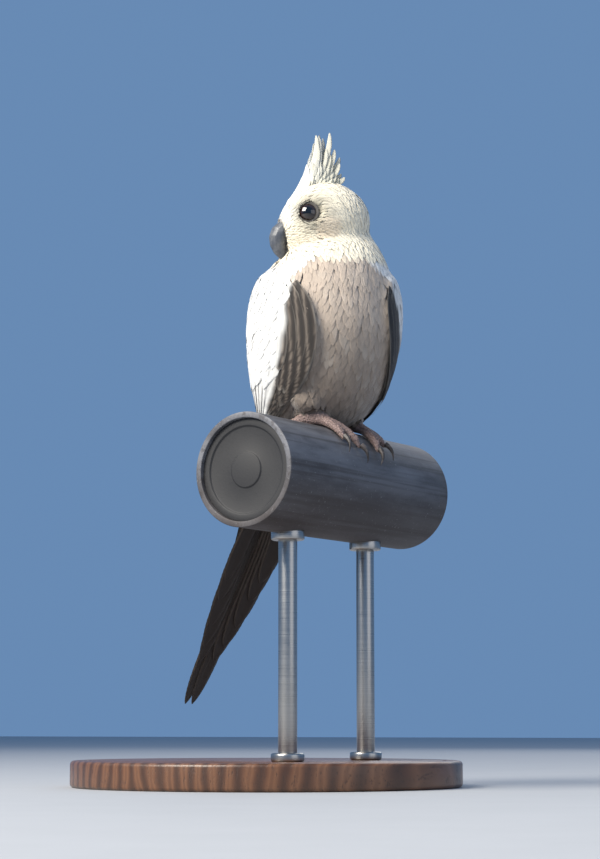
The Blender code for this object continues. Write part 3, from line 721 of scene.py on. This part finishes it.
def vanes(name, path, outward, half, lift, colours, look, stands_for=(), outline=outline_soft,
          *, rings, seed, columns=3, thick=0.0, ridge=0.02, cup=0.05, fray=0.0, lean=0.0, roll=0.0,
          soft=0.5, rise=1.15, under=None, unwrap=None, tint=None):
    """One mesh of closed feathers. path and outward give each one's middle line; half is its half
    width, lift its height over the line at root and tip, rise how that height grows on the way
    (below 0, fast at first), cup and ridge its section, fray the depth of the notches between its
    barbs, lean how much more of it lies on one side of the shaft, roll how far its right edge is
    raised over the left, and soft how far it is shaded like down."""
    rng = np.random.default_rng(seed)
    count, stations = path.shape[:2]
    half, root_lift, tip_lift = (np.broadcast_to(value, count)[:, None] for value in (half, *lift))
    t = 1 - (1 - np.linspace(0, 1, rings)) ** 1.5
    at = t * (stations - 1)
    low = np.minimum(at.astype(int), stations - 2)
    mix = (at - low)[None, :, None]
    middle = path[:, low] * (1 - mix) + path[:, low + 1] * mix
    up = unit(outward[:, low] * (1 - mix) + outward[:, low + 1] * mix)
    run = unit(np.gradient(middle, axis=1))
    up = unit(up - roll * unit(np.cross(run, up)))
    right = unit(np.cross(run, up))
    wide = half * outline(t)
    notch = np.where(np.arange(rings) % 2 == 0, 1.0, 1.0 - fray)
    notch[-1] = 1.0
    ragged = wide[:, :, None] * (1 - rng.uniform(0, fray * 0.6, (count, rings, 2))) * notch[None, :, None]
    risen = t ** rise if rise > 0 else 1 - (1 - t) ** -rise
    raised = root_lift * (1 - risen) + tip_lift * risen
    across = np.linspace(-1, 1, columns)
    shape = []
    for place in across:
        reach = (ragged[:, :, int(place > 0)] if abs(place) == 1 else wide) * place
        reach = reach + wide * lean * (1 - place ** 2)
        drop = cup * wide * place ** 2 - ridge * wide * (1 - abs(place)) ** 2
        sweep = 0.5 * fray * wide * abs(place) * (notch == 1.0)
        shape.append(middle + right * reach[..., None] + up * (raised - drop)[..., None]
                     + run * sweep[..., None])
    if thick:
        tuck = thick * np.clip(np.sin(np.pi * np.clip(t * 0.94 + 0.05, 0, 1)) * 2.2, 0.35, 1)[None, :, None]
        shape += [shape[k] - up * tuck for k in range(columns - 2, 0, -1)]
        across = np.r_[across, across[-2:0:-1]]
    shape = np.stack(shape, 2)
    mesh, corner = closed_vanes(name, shape)
    facing = read(mesh.vertices, "normal").reshape(shape.shape)
    share = soft * np.clip((facing * up[:, :, None]).sum(-1, keepdims=True) + 0.7, 0, 1)
    facing = unit(facing * (1 - share) + up[:, :, None] * share)
    mesh.normals_split_custom_set_from_vertices(facing.reshape(-1, 3).tolist())
    t, across = t[None, :, None, None], across[None, None, :, None]
    if callable(colours):
        shade = colours(shape, t, across)
    else:
        shade = np.broadcast_to(colours[:, None, None], shape.shape)
        if tint:
            shade = tint(shade, t, across)
    if under is not None:
        shade[:, :, columns:] = under
    add_colours(mesh, shade.reshape(-1, 3))
    flat = np.stack(np.broadcast_arrays(across * 0.5 + 0.5, t, np.zeros((count, 1, 1, 1)))[:2], -1)[..., 0, :]
    maps = {"vane": flat}
    if unwrap is not None:
        maps["OFBake"] = unwrap[:, None, None] + (flat - 0.5) * TUFT_PATCH
    for key, values in maps.items():
        layer = mesh.uv_layers.new(name=key)
        layer.uv.foreach_set("vector", values.reshape(-1, 2)[corner].astype(np.float32).ravel())
    piece = bpy.data.objects.new(name, mesh)
    bpy.context.scene.collection.objects.link(piece)
    finish_piece(piece, name, look, stands_for, smooth=None)


def feather_finish(name, barbs, depth, sheen):
    """Vanes: barbs slant from the shaft to each edge, darker between them."""
    made = Finish(name, roughness=0.7, sheen_weight=sheen, sheen_roughness=0.45)
    colour = made.node("Attribute", {"attribute_name": "plumage"}, output="Color")
    vane = made.node("UVMap", {"uv_map": "vane"})
    across, along = (made.node("SeparateXYZ", values={0: vane}, output=k) for k in (0, 1))
    comb = ((along - (across - 0.5).size() * 0.55) * barbs).sine() * 0.5 + 0.5
    uneven = made.noise(made.place(), 420.0, 3.0)
    colour = made.blend(colour, (0.0, 0.0, 0.0), comb * 0.10 + uneven.ramp(0.35, 0.75) * 0.10)
    return made.set(Base_Color=colour, bump=comb, bump_height=depth)


soft_look = feather_finish("soft feathers", 210.0, 0.015 * MM, 0.35)
bill_surfaces = [surface_of(nodes[name]) for name in ("bill_upper", "bill_lower")]


def spacing_of(points):
    """The gap between neighbouring feather roots, in mm."""
    lateral, forward, up = to_head(points)
    heights, angles = around_body(points)
    from_bill = np.sqrt(lateral ** 2 + (forward - 15) ** 2 + (up + 3) ** 2)
    on_head = np.maximum(np.interp(from_bill, (6, 12, 20, 34, 50), (0.62, 0.7, 0.9, 1.2, 1.55)),
                         np.interp(heights, (60, 66, 72), (1.25, 1.15, 0.6)))
    on_body = np.interp(heights, (-16, 4, 30, 48, 60), (1.7, 1.6, 1.8, 1.6, 1.25))
    back = np.interp(np.where(angles > COVERTS_FRONT, heights, 60), (14, 32, 50), (1.4, 1.2, 1.0))
    return np.where(heights > 60, on_head, on_body * back)


def grows_feathers(points):
    region = regions(points)
    heights, angles = around_body(points)
    long_feathers = (heights < COVERTS_END) | ((angles < COVERTS_FRONT) & (heights < SHOULDER))
    free = ~within(region, "foot") & (heights > COAT_END) & ~(within(region, "wing") & long_feathers)
    on_back = (angles > BACK_START) & (region == "trunk")
    for side in SIDES:
        free &= ~(on_back & (distance_to(near_part[f"wing_{side}"], points) < BESIDE_WING))
        free &= np.linalg.norm(points - np.array(middle_of(f"eye_{side}")), axis=1) > BARE_RING
    for surface in bill_surfaces:
        free &= distance_to(surface, points) > BILL_GAP
    return free


def under_wing(points, outward):
    """Whether a wing lies over each point."""
    hidden = np.zeros(len(points), bool)
    for side in SIDES:
        surface = near_part[f"wing_{side}"]
        for i in np.flatnonzero(distance_to(surface, points) < WING_OVER).tolist():
            hidden[i] |= surface.ray_cast(Vector(points[i]), Vector(outward[i]), WING_OVER)[0] is not None
    return hidden


rng = np.random.default_rng(7)
roots, root_spots = scatter(spacing_of, grows_feathers, 11)
root_region = regions(roots)
gap = spacing_of(roots)
length = gap * np.interp(gap, (0.6, 1.0, 2.0), (3.6, 4.6, 5.2)) * rng.uniform(0.85, 1.15, len(roots)) * MM
half = gap * np.interp(gap, (0.6, 1.0, 2.0), (0.72, 0.85, 1.0)) * rng.uniform(0.9, 1.1, len(roots)) * MM
stray = rng.normal(0, 0.09, (len(roots), 3))
paths, outwards = follow(roots, length, lambda points: lie_of_coat(points, root_region) + stray, STATIONS)

# Left out: feathers whose tips would lie on the bare toes, under a wing or over its front.
tips = paths[:, -1]
tip_heights, tip_angles = around_body(tips)
tip_region = regions(tips)
hidden = np.any([under_wing(paths[:, k], outwards[:, k]) for k in range(1, STATIONS)], axis=0)
stays = np.where(within(root_region, "wing"), tip_angles > COVERTS_FRONT + 2,
                 ~(hidden | within(tip_region, "wing")))
stays = (stays | (tip_heights > SHOULDER + 1)) & ~within(tip_region, "foot")
roots, root_region, root_spots, gap, half, tips, paths, outwards = (
    values[stays] for values in (roots, root_region, root_spots, gap, half, tips, paths, outwards))
depth = np.maximum(coat_depth(roots, root_region), LEAST_DEPTH)
tip_colours = plumage(tips, root_region) * np.exp(rng.normal(0, 0.035, (len(roots), 1)))

heights, angles = around_body(roots)
on_head = heights > HEAD_LINE
on_body = heights <= HOOD_ROOTS
tracts = {
    "face": on_head & (gap < FACE_GAP),
    "crown_and_cheeks": on_head & (gap >= FACE_GAP),
    "hood": ~on_head & ~on_body,
    "coverts_left": on_body & (root_region == "wing_left"),
    "coverts_right": on_body & (root_region == "wing_right"),
    "breast": on_body & ~within(root_region, "wing") & (angles < BREAST_END),
}
tracts["back"] = ~np.any(list(tracts.values()), axis=0)


# painted shade: each body feather darkens towards its root, under the feathers that overlap it
def shaded_roots(shade, t, across):
    return shade * (0.90 + 0.10 * step(0.45, 0.95, t))


for tract, (name, chosen) in enumerate(tracts.items()):
    big = name not in ("face", "crown_and_cheeks")
    tip_lift = 0.6 if big and name != "hood" else 0.5
    vanes(f"feathers_{name}", paths[chosen], outwards[chosen], half[chosen],
          (depth[chosen] * 0.1, depth[chosen] * tip_lift), tip_colours[chosen], soft_look,
          rings=16 if big else 10, columns=5 if big else 3,
          fray=0.12, unwrap=root_spots[chosen], tint=shaded_roots, rise=-2.6, soft=0.9, seed=tract)

# ---------------------------------------------------------------- Wings
# Folded wings, pressed to the body: rows of coverts over the secondaries, and those over the long
# primaries, whose tips lie on the rump and tail. Each row overlaps from the back forwards.

CHART_ROWS, CHART_PLACES, CHART_EDGE = 60, 33, 0.6 * MM
ROUND = np.radians(np.arange(15, 180, 1.0))      # the ways from which it is looked at, breast to back
OUTSIDE = 70                                     # mm from the body's middle line, clear of the wings


def evened(table, turns):
    """A table of points, each moved a little towards its neighbours."""
    for _ in range(turns):
        table[1:-1] = (table[:-2] + 2 * table[1:-1] + table[2:]) / 4
        table[:, 1:-1] = (table[:, :-2] + 2 * table[:, 1:-1] + table[:, 2:]) / 4
    return table


class WingChart:
    """The outer surface of a folded wing: 0 to 1 down from the shoulder, 0 to 1 from the front edge back."""

    def __init__(self, side):
        low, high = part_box(f"wing_{side}")
        rows = []
        for height in np.linspace(high.z - CHART_EDGE, low.z + CHART_EDGE, CHART_ROWS):
            over_rail = (height - rail_top[2]) / MM
            spine = np.interp(over_rail, *zip(*SPINE))
            axis = from_body(0.0, spine, over_rail)
            starts = from_body(SIDES[side] * np.sin(ROUND) * OUTSIDE, spine + np.cos(ROUND) * OUTSIDE,
                               over_rail)
            hits = [near_part[f"wing_{side}"].ray_cast(Vector(start), Vector(axis - start).normalized())[0]
                    for start in starts]
            hits = np.array([hit for hit in hits if hit])
            if len(hits) > 2:
                walked = np.r_[0, np.cumsum(np.linalg.norm(np.diff(hits, axis=0), axis=1))]
                even = np.linspace(0, walked[-1], CHART_PLACES)
                rows.append(np.stack([np.interp(even, walked, hits[:, k]) for k in range(3)], -1))
        grid = np.array(rows)
        over_rail = (grid.mean(axis=1, keepdims=True)[..., 2] - rail_top[2]) / MM
        self.grid = evened(grid, 3)
        down, back = np.gradient(grid, axis=0), np.gradient(grid, axis=1)
        radial = unit(grid - from_body(0.0, np.interp(over_rail, *zip(*SPINE)), over_rail))
        self.normals = unit(evened(unit(np.cross(down, back)) * SIDES[side] + 0.35 * radial, 4))

    def at(self, along, across):
        """The places at these shares of the way down and back, and the outward directions there."""
        found = []
        for table in (self.grid, self.normals):
            rows, places = table.shape[:2]
            x, y = np.clip(along, 0, 1) * (rows - 1), np.clip(across, 0, 1) * (places - 1)
            i, j = np.minimum(x.astype(int), rows - 2), np.minimum(y.astype(int), places - 2)
            p, q = (x - i)[..., None], (y - j)[..., None]
            found.append((table[i, j] * (1 - p) + table[i + 1, j] * p) * (1 - q)
                         + (table[i, j + 1] * (1 - p) + table[i + 1, j + 1] * p) * q)
        return found[0], unit(found[1])


outline_flight = outline_of(0.45, 0.22, 0.82, 2.4, 0.5, 0.003, quill=True)
outline_covert = outline_of(0.6, 0.5, 0.79, 2.0, 0.5, 0.004)
WING_ROWS = {
    # feathers, how far down their roots lie (front one, back one), and how far across,
    # how far down their tips lie, and across, half width and depth under the surface in mm
    "primaries": (12, (0.36, 0.32), (0.03, 0.60), (0.975, 0.74), (0.26, 0.80), (2.4, 4.2), (0.2, 1.15)),
    "secondaries": (14, (0.24, 0.22), (0.02, 0.86), (0.70, 0.60), (0.04, 0.88), (2.8, 4.0), (0.0, 1.0)),
    "tertials": (4, (0.20, 0.18), (0.78, 0.96), (0.60, 0.66), (0.88, 0.99), (4.0, 4.2), (0.7, 0.7)),
    "primary_coverts": (5, (0.16, 0.16), (0.02, 0.22), (0.62, 0.48), (0.03, 0.27), (2.2, 2.7), (-0.3, 0.35)),
    "greater_coverts": (16, (0.24, 0.22), (0.14, 0.92), (0.52, 0.45), (0.17, 0.93), (2.8, 3.4), (0.35, 0.6)),
    "alula": (4, (0.06, 0.05), (0.01, 0.19), (0.44, 0.34), (0.02, 0.22), (2.1, 2.5), (-0.5, 0.1)),
}
WING_STATIONS = 12
ROOT_DEEPER = 0.8 * MM   # how much deeper a feather's root lies than its tip
SHINGLE = 0.03           # how steeply each feather is rolled, its front edge over the one before
blade_look = feather_finish("flight feathers", 620.0, 0.015 * MM, 0.04)


def between(ends, share):
    return ends[0] + (ends[1] - ends[0]) * share


def wing_tint(front_edge):
    """Outer webs wear the wing's colours, painted shade included, with a paler edge; inner webs are darker.
    """
    def tint(points, t, across):
        shade = wing_colours(points.reshape(-1, 3)).reshape(points.shape)
        forward = across * front_edge
        edge = step(0.8, 0.92, forward) * 0.26 + step(0.96, 1.0, t) * 0.2
        shaft = (1 - step(0.03, 0.10, np.abs(across))) * 0.2
        shade = shade * (1 - 0.25 * step(-0.1, 0.7, -forward)) * (1 - shaft)
        return shade * (1 - edge) + np.array(PALE_EDGE) * edge
    return tint


for side, front_edge in SIDES.items():
    chart = WingChart(side)
    for order, (row, spec) in enumerate(WING_ROWS.items()):
        count, root_down, root_across, tip_down, tip_across, widths, sunk = spec
        covert = row == "greater_coverts"
        s, t = np.linspace(0, 1, count)[:, None], np.linspace(0, 1, WING_STATIONS)
        uneven = np.random.default_rng(40 + order).normal(0, 0.007, (count, 1))
        uneven += 0.009 * (-1.0) ** np.arange(count)[:, None] + 0.02 * np.sin(math.pi * s)
        down = between(root_down, s) * (1 - t) + (between(tip_down, s) + uneven) * t
        across = between(root_across, s) * (1 - t) + between(tip_across, s) * t
        path, outward = chart.at(down, across)
        deep = between(sunk, np.sqrt(s[:, 0])) * MM
        vanes(f"{row}_{side}", path, outward, between(widths, s[:, 0]) * MM, (-deep - ROOT_DEEPER, -deep),
              wing_tint(front_edge), blade_look,
              stands_for=[f"wing_{side}"] if row == "secondaries" else (),
              outline=outline_covert if covert else outline_flight, rings=30 if covert else 44, columns=7,
              thick=0.14 * MM, cup=0.04, fray=0.03, lean=-0.25 * front_edge, roll=SHINGLE * front_edge,
              soft=0.7, seed=order)

# ---------------------------------------------------------------- Tail
# Twelve graduated tail feathers, stacked like a closed fan. The pointed middle pair is the
# longest and lies on top, so from below the shorter outer ones show in steps.

TAIL_ROOT, TAIL_TIP = (-11.0, 9.8), (-113.0, -106.0)      # forward and height, in mm
TAIL_FEATHERS = (      # how far each pair reaches, how far it lies to the side, and its half width, in mm
    (151, 1.6, 3.6), (127, 3.2, 4.4), (119, 4.7, 4.4), (108, 6.0, 4.4), (94, 7.2, 4.3), (84, 8.0, 4.1))
# the undersides are the tail's brown darkened as painted shade under the tail
TAIL_TOP, TAIL_UNDERSIDE_SHADE = paint(112, 98, 86), paint(52, 45, 41)
TAIL_LIFT, TAIL_ROLL, TAIL_STATIONS = 0.9 * MM, 0.02, 24
outline_tail = outline_of(0.6, 0.3, 0.80, 2.0, 0.6, 0.02, quill=True)
tail_root, tail_tip = from_body(0.0, *TAIL_ROOT), from_body(0.0, *TAIL_TIP)
tail_along = unit(tail_tip - tail_root)
tail_left = unit(directions(np.array(HIP_HEIGHT - 1.0))[0])
tail_over = np.cross(tail_left, tail_along)


def tail_tint(shade, t, across):
    shaft = 1 - 0.3 * (1 - step(0.03, 0.12, np.abs(across)))
    return shade * (1 - 0.16 * np.abs(across)) * shaft


tail_paths, tail_up, tail_half = [], [], []
for order, (reach, offset, width) in enumerate(TAIL_FEATHERS):
    for turn in SIDES.values():
        walked = np.linspace(8, reach, TAIL_STATIONS)[:, None]
        spread = offset * (0.45 + 0.55 * np.minimum(walked / 70, 1)) * turn
        droop = -0.014 * spread ** 2 - 0.33 * order - (0.12 if turn > 0 else 0.0)
        tail_paths.append(tail_root + (tail_along * walked + tail_left * spread + tail_over * droop) * MM)
        rolled = unit(tail_over + tail_left * turn * TAIL_ROLL * (order + 1))
        tail_up.append(np.tile(rolled, (TAIL_STATIONS, 1)))
        tail_half.append(width * MM)
brown = np.array(TAIL_TOP) * np.exp(np.random.default_rng(5).normal(0, 0.05, (len(tail_paths), 1)))
vanes("tail_feathers", np.array(tail_paths), np.array(tail_up), np.array(tail_half),
      (TAIL_LIFT * 1.4, TAIL_LIFT * 0.2), brown, blade_look, ["tail"], outline=outline_tail,
      rings=60, columns=7, thick=0.5 * MM, ridge=0.06, cup=0.10, fray=0.03, under=TAIL_UNDERSIDE_SHADE,
      tint=tail_tint, seed=9)

# ---------------------------------------------------------------- Crest
# Long narrow feathers that rise from the crown, lean back and turn up again at their tips, in a
# loose fan, with short ones in front and at their feet.

CREST = (      # root forward of the skull's middle, length, lean back in degrees, half width, in mm
    (10.4, 8, 46, 1.2), (9.4, 12, 42, 1.4), (7.8, 16, 37, 1.6), (5.8, 20, 32, 1.7),
    (3.6, 24.5, 28, 1.7), (1.4, 22, 32, 1.7), (-1.2, 14, 47, 1.6), (-4.2, 9, 70, 1.5))
CREST_LAYERS = (      # feathers, their share of the length, how far they stand to the side in mm
    (21, 1.0, 0.7), (31, 0.76, 1.3), (31, 0.6, 2.0), (31, 0.45, 2.8), (31, 0.32, 3.6))
CROWN = ((-9, -5, 0, 5, 10), (10.4, 11.8, 12.4, 11.6, 9.6))       # the crown's height along its middle
CREST_BEND, CREST_CURL = 15, 19                                   # degrees back, then forward again
CREST_PALE, CREST_GREY, CREST_CREAM = paint(240, 240, 232), paint(176, 178, 176), paint(246, 240, 216)
outline_plume = outline_of(0.55, 0.45, 0.5, 2.2, 0.5, 0.004)


def crest_tint(shade, t, across):
    tip = step(0.45, 1.0, t + 0.15 * np.abs(across))
    return shade * (1 - 0.25 * tip) + np.array(CREST_GREY) * 0.25 * tip


rng = np.random.default_rng(21)
walk = np.linspace(0, 1, 14)
crest_paths, crest_up, crest_half, crest_colours = [], [], [], []
for layer, (count, size, sideways) in enumerate(CREST_LAYERS):
    for i in range(count):
        place = i / (count - 1)
        root, reach, lean, width = (np.interp(place * 7, range(8), column) for column in zip(*CREST))
        reach *= size * rng.uniform(0.84, 1.04)
        flank = (-1) ** (i + layer)
        turn = np.radians(lean + 6 * (1 - size) + rng.normal(0, 2.0)
                          + CREST_BEND * walk - CREST_CURL * walk ** 2)
        lateral = flank * sideways * (1 - 0.55 * walk + 0.5 * np.sin(walk * 3))
        path = from_head(lateral, root - np.sin(turn) * reach * walk,
                         np.interp(root, *CROWN) + np.cos(turn) * reach * walk)
        twist = math.radians(rng.uniform(5, 32))
        facing = np.array(face_left) * math.cos(twist) * flank + np.array(face_ahead) * math.sin(twist)
        ashy = 0.55 * math.exp(-((place - 0.62) / 0.09) ** 2) + (0.12 if layer == 0 else 0.0)
        crest_paths.append(path)
        crest_up.append(np.broadcast_to(unit(facing), path.shape))
        crest_half.append(width * (0.8 if layer == 0 else 0.62) * MM)
        pale = CREST_PALE if place < 0.45 else CREST_CREAM
        crest_colours.append(over(np.array([pale]), CREST_GREY, ashy)[0])
vanes("crest_feathers", np.array(crest_paths), np.array(crest_up), np.array(crest_half), (0.0, 0.0),
      np.array(crest_colours), soft_look, ["crest"], outline=outline_plume, rings=36,
      columns=5, thick=0.12 * MM, ridge=0.03, cup=0.08, fray=0.08, soft=0.6, tint=crest_tint, seed=3)

# ---------------------------------------------------------------- Bill and claws
# Grey horn, grown in fine layers: the deep hooked upper bill over the short lower one, and
# eight sharp claws. A fleshy cere with two round nostrils joins the bill to the brow.

BILL_TRIM = (0.97, 0.97, 0.92)   # how much of the solid is left once its edges are dressed back
CLAW_GROWN = 1.2                 # each claw is longer than its solid, so that its root is set in the toe
BILL_VOXEL, CLAW_VOXEL, CERE_VOXEL = 0.25 * MM, 0.14 * MM, 0.16 * MM
CERE_LUMP, NOSTRIL = (2.5 * MM, 2.4 * MM, 2.0 * MM), (0.75 * MM, 1.1 * MM, 0.62 * MM)      # half sizes
horn = Finish("grey horn", coat_weight=0.15, coat_roughness=0.25)
layers = horn.bands(horn.place(), "Z", 260.0, 5.0, 1.2)
cloud = horn.noise(horn.place(), 330.0)
flakes = horn.noise(horn.place((1, 1, 0.22)), 1500.0, 3.0)
grey = horn.blend(paint(74, 78, 86), paint(104, 106, 109), cloud.ramp(0.35, 0.7))
grey = horn.blend(grey, paint(50, 52, 56), layers * 0.10 + flakes.ramp(0.5, 0.75) * 0.3)
horn_look = horn.set(Base_Color=grey, Roughness=cloud * 0.2 + flakes * 0.2 + 0.22,
                     bump=cloud + flakes, bump_height=0.03 * MM)


def grained(name, dark, light, scale, relief, roughness, spread=None):
    """A plain stuff whose fine grain varies its colour and its relief."""
    made = Finish(name, roughness=roughness)
    grain = made.noise(made.place(), scale)
    share = grain.ramp(*spread) if spread else grain
    return made.set(Base_Color=made.blend(dark, light, share), bump=grain if relief else None,
                    bump_height=relief)


def rounded(obj, voxel, turns):
    """Rounds a piece's facets away."""
    modify(obj, "REMESH", mode="VOXEL", voxel_size=voxel)
    modify(obj, "SMOOTH", factor=0.5, iterations=turns)
    return obj


def resize(obj, factors, centre):
    pick(obj, "FACE")
    bpy.ops.transform.resize(value=factors, center_override=centre)


def ball(place, sizes, axes=Matrix(head_axes.tolist()).transposed(), segments=48):
    """A round lump with its three half sizes along the head's axes, or others."""
    begin()
    bpy.ops.mesh.primitive_uv_sphere_add(segments=segments, ring_count=segments // 2)
    lump = bpy.context.object
    lump.matrix_world = Matrix.Translation(Vector(place)) @ axes.to_4x4() @ Matrix.Diagonal((*sizes, 1))
    fix_place()
    return lump


for part in ("upper", "lower"):
    bill = rounded(copy_of(f"bill_{part}"), BILL_VOXEL, 30)
    resize(bill, BILL_TRIM, from_head(0.0, 13.0, 2.0))
    finish_piece(bill, f"{part}_bill", horn_look, [f"bill_{part}"], 80)
claw_look = grained("claw horn", paint(52, 47, 46), paint(92, 84, 80), 500.0, 0.02 * MM, 0.5, (0.4, 0.7))
for side in SIDES:
    for toe in ("hallux", "inner", "outer", "rear"):
        claw = rounded(copy_of(f"claw_{toe}_{side}"), CLAW_VOXEL, 3)
        places, _, _ = mesh_numbers(claw)
        point = places[distance_to(near_part[f"foot_{side}"], places).argmax()]
        resize(claw, (CLAW_GROWN,) * 3, point)
        finish_piece(claw, f"{toe}_claw_{side}", claw_look, [f"claw_{toe}_{side}"], 80)

cere = join([ball(from_head(turn * 2.0, 13.4, 2.5), CERE_LUMP) for turn in SIDES.values()])
for turn in SIDES.values():
    pit = ball(from_head(turn * 2.5, 15.7, 3.0), NOSTRIL, segments=24)
    modify(cere, "BOOLEAN", operation="DIFFERENCE", object=pit)
    bpy.data.objects.remove(pit)
cere_look = grained("cere skin", paint(150, 146, 142), paint(176, 168, 160), 900.0, 0.05 * MM, 0.55)
finish_piece(rounded(cere, CERE_VOXEL, 4), "cere", cere_look, smooth=80)

# ---------------------------------------------------------------- Eyes
# Glass eyes, dark brown round a black pupil, set in bare grey lids that close on the ball.

EYE_GLASS, OPENING, LID = 4.1 * MM, 3.45 * MM, 0.42 * MM
LID_SHAPE = (1.0, 0.94, 0.8)                     # a little lower than wide, and flat
RING_WALL, RING_SPREAD, RING_STEPS = 0.3 * MM, 1.08, (0.12, 0.4, 0.8)      # steps back into the head, in mm
glass = Finish("glass eye", roughness=0.04, coat_weight=1.0, coat_roughness=0.02)
gaze = glass.node("Attribute", {"attribute_name": "gaze"}, output="Fac")
iris = glass.blend(paint(28, 17, 12), paint(48, 29, 19), glass.noise(glass.place(), 1500.0, 2.0))
ring = gaze.ramp(0.46, 0.52) * (1 - gaze.ramp(0.8, 0.95))
glass_look = glass.set(Base_Color=glass.blend(paint(6, 5, 5), iris, ring))
lid_look = grained("lid skin", paint(70, 66, 62), paint(112, 106, 98), 1300.0, 0.06 * MM, 0.5)
for side, turn in SIDES.items():
    centre = middle_of(f"eye_{side}")
    look_out = (face_left * turn + face_ahead * 0.30 + face_up * 0.06).normalized()
    aim = look_out.to_track_quat("Z", "Y").to_matrix()
    eye = ball(centre, (EYE_GLASS,) * 3, aim, 64)
    bulge = np.array([(v.co - centre).normalized().dot(look_out) for v in eye.data.vertices])
    layer = eye.data.attributes.new("gaze", "FLOAT", "POINT")
    layer.data.foreach_set("value", np.arccos(np.clip(bulge, -1, 1)))
    finish_piece(eye, f"glass_eye_{side}", glass_look, [f"eye_{side}"], 80)
    begin()
    bpy.ops.mesh.primitive_torus_add(major_segments=72, minor_segments=16,
                                     major_radius=OPENING, minor_radius=LID)
    lid = bpy.context.object
    depth = math.sqrt(EYE_GLASS ** 2 - OPENING ** 2)
    seat = Matrix.Translation(centre + look_out * depth) @ aim.to_4x4()
    lid.matrix_world = seat @ Matrix.Diagonal((*LID_SHAPE, 1))
    finish_piece(lid, f"lid_{side}", lid_look, smooth=80)
    begin()
    bpy.ops.mesh.primitive_circle_add(vertices=72, radius=OPENING + LID * 0.4)
    bare = bpy.context.object
    bare.matrix_world = Matrix.Translation(centre + look_out * (depth + 0.1 * MM)) @ aim.to_4x4()
    fix_place()
    pick(bare, "EDGE")
    for sink in RING_STEPS:
        bpy.ops.mesh.extrude_edges_move(TRANSFORM_OT_translate={"value": tuple(-look_out * sink * MM)})
        bpy.ops.transform.resize(value=(RING_SPREAD,) * 3, center_override=centre)
    modify(bare, "SOLIDIFY", thickness=RING_WALL)
    finish_piece(bare, f"eye_ring_{side}", lid_look, smooth=80)

# ---------------------------------------------------------------- Feet
# Bare legs and toes, two forward and two back over the rail, armoured with small overlapping
# scutes that grow from the skin and point down the toes.

SCUTE_GAP, SCUTE_LONG, SCUTE_HALF = 0.75, 1.35 * MM, 0.62 * MM      # the gap in mm
SCUTE_LIFT = (-0.05 * MM, 0.12 * MM)
ANKLE_UP = 8 * MM
ankles = np.array([np.array(middle_of(f"foot_{side}")) + UP * ANKLE_UP for side in SIDES])
scute_roots, scute_spots = scatter(lambda points: SCUTE_GAP,
                                   lambda points: within(regions(points), "foot"), 12)


def along_toes(points):
    nearest_ankle = ankles[np.linalg.norm(points[:, None] - ankles, axis=2).argmin(1)]
    return unit(points - nearest_ankle)


scute_path, scute_up = follow(scute_roots, SCUTE_LONG, along_toes, 4)
tone = np.exp(np.random.default_rng(2).normal(0, 0.10, (len(scute_roots), 1)))
vanes("toe_scutes", scute_path, scute_up, SCUTE_HALF, SCUTE_LIFT, np.array(LEG_SKIN) * tone, hide_look,
      outline=outline_covert, rings=6, ridge=0.12, cup=0.2, unwrap=scute_spots, seed=8)

# ---------------------------------------------------------------- Floor, light and camera
# A pale table under a blue sky, a wide warm lamp to the upper left, a weaker one to the right
# and a third behind.

begin()
bpy.ops.mesh.primitive_plane_add(size=8)
floor = bpy.context.object
floor.name = "floor"
table = grained("pale table", paint(166, 168, 171), paint(173, 175, 178), 30.0, 0.0, 0.75)
floor.data.materials.append(table)

AZIMUTH, EYE_HEIGHT, REACH = math.radians(-57), 0.022, 0.80      # where the camera stands, in m
aim_at = Vector((0.0, rail_middle.y * 0.55, 0.137))
lamps_aim = Vector((0, rail_middle.y, 0.18))
LAMPS = (
    # name, turn from the camera in degrees, height, distance, size, watts, colour
    ("key", -52, 0.95, 1.0, 0.8, 35.0, (1.0, 0.94, 0.84)),
    ("fill", 50, 0.40, 1.5, 1.2, 3.8, (1.0, 0.95, 0.88)),
    ("rim", 160, 0.8, 1.3, 0.8, 4.0, (1.0, 0.96, 0.90)),
)


def set_up(data, angle, distance, height, target):
    """Puts a camera or lamp at a place round the stand and aims it."""
    stood = bpy.data.objects.new(data.name, data)
    bpy.context.scene.collection.objects.link(stood)
    stood.location = (math.sin(angle) * distance, rail_middle.y - math.cos(angle) * distance, height)
    stood.rotation_euler = (target - stood.location).to_track_quat("-Z", "Y").to_euler()
    return stood


camera_data = bpy.data.cameras.new("camera")
camera_data.lens = 88.0
camera_data.clip_start = 0.01
bpy.context.scene.camera = set_up(camera_data, AZIMUTH, REACH, EYE_HEIGHT, aim_at)
for name, turn, lamp_height, distance, size, watts, colour in LAMPS:
    lamp = bpy.data.lights.new(name, "AREA")
    lamp.size, lamp.energy, lamp.color = size, watts, colour
    set_up(lamp, AZIMUTH + math.radians(turn), distance, lamp_height, lamps_aim)

world = bpy.data.worlds.new("studio")
bpy.context.scene.world = world
world.use_nodes = True
sky = world.node_tree.nodes["Background"]
sky.inputs["Color"].default_value = (*paint(130, 172, 223), 1.0)
sky.inputs["Strength"].default_value = 0.62
bpy.context.scene.view_settings.view_transform = "Standard"
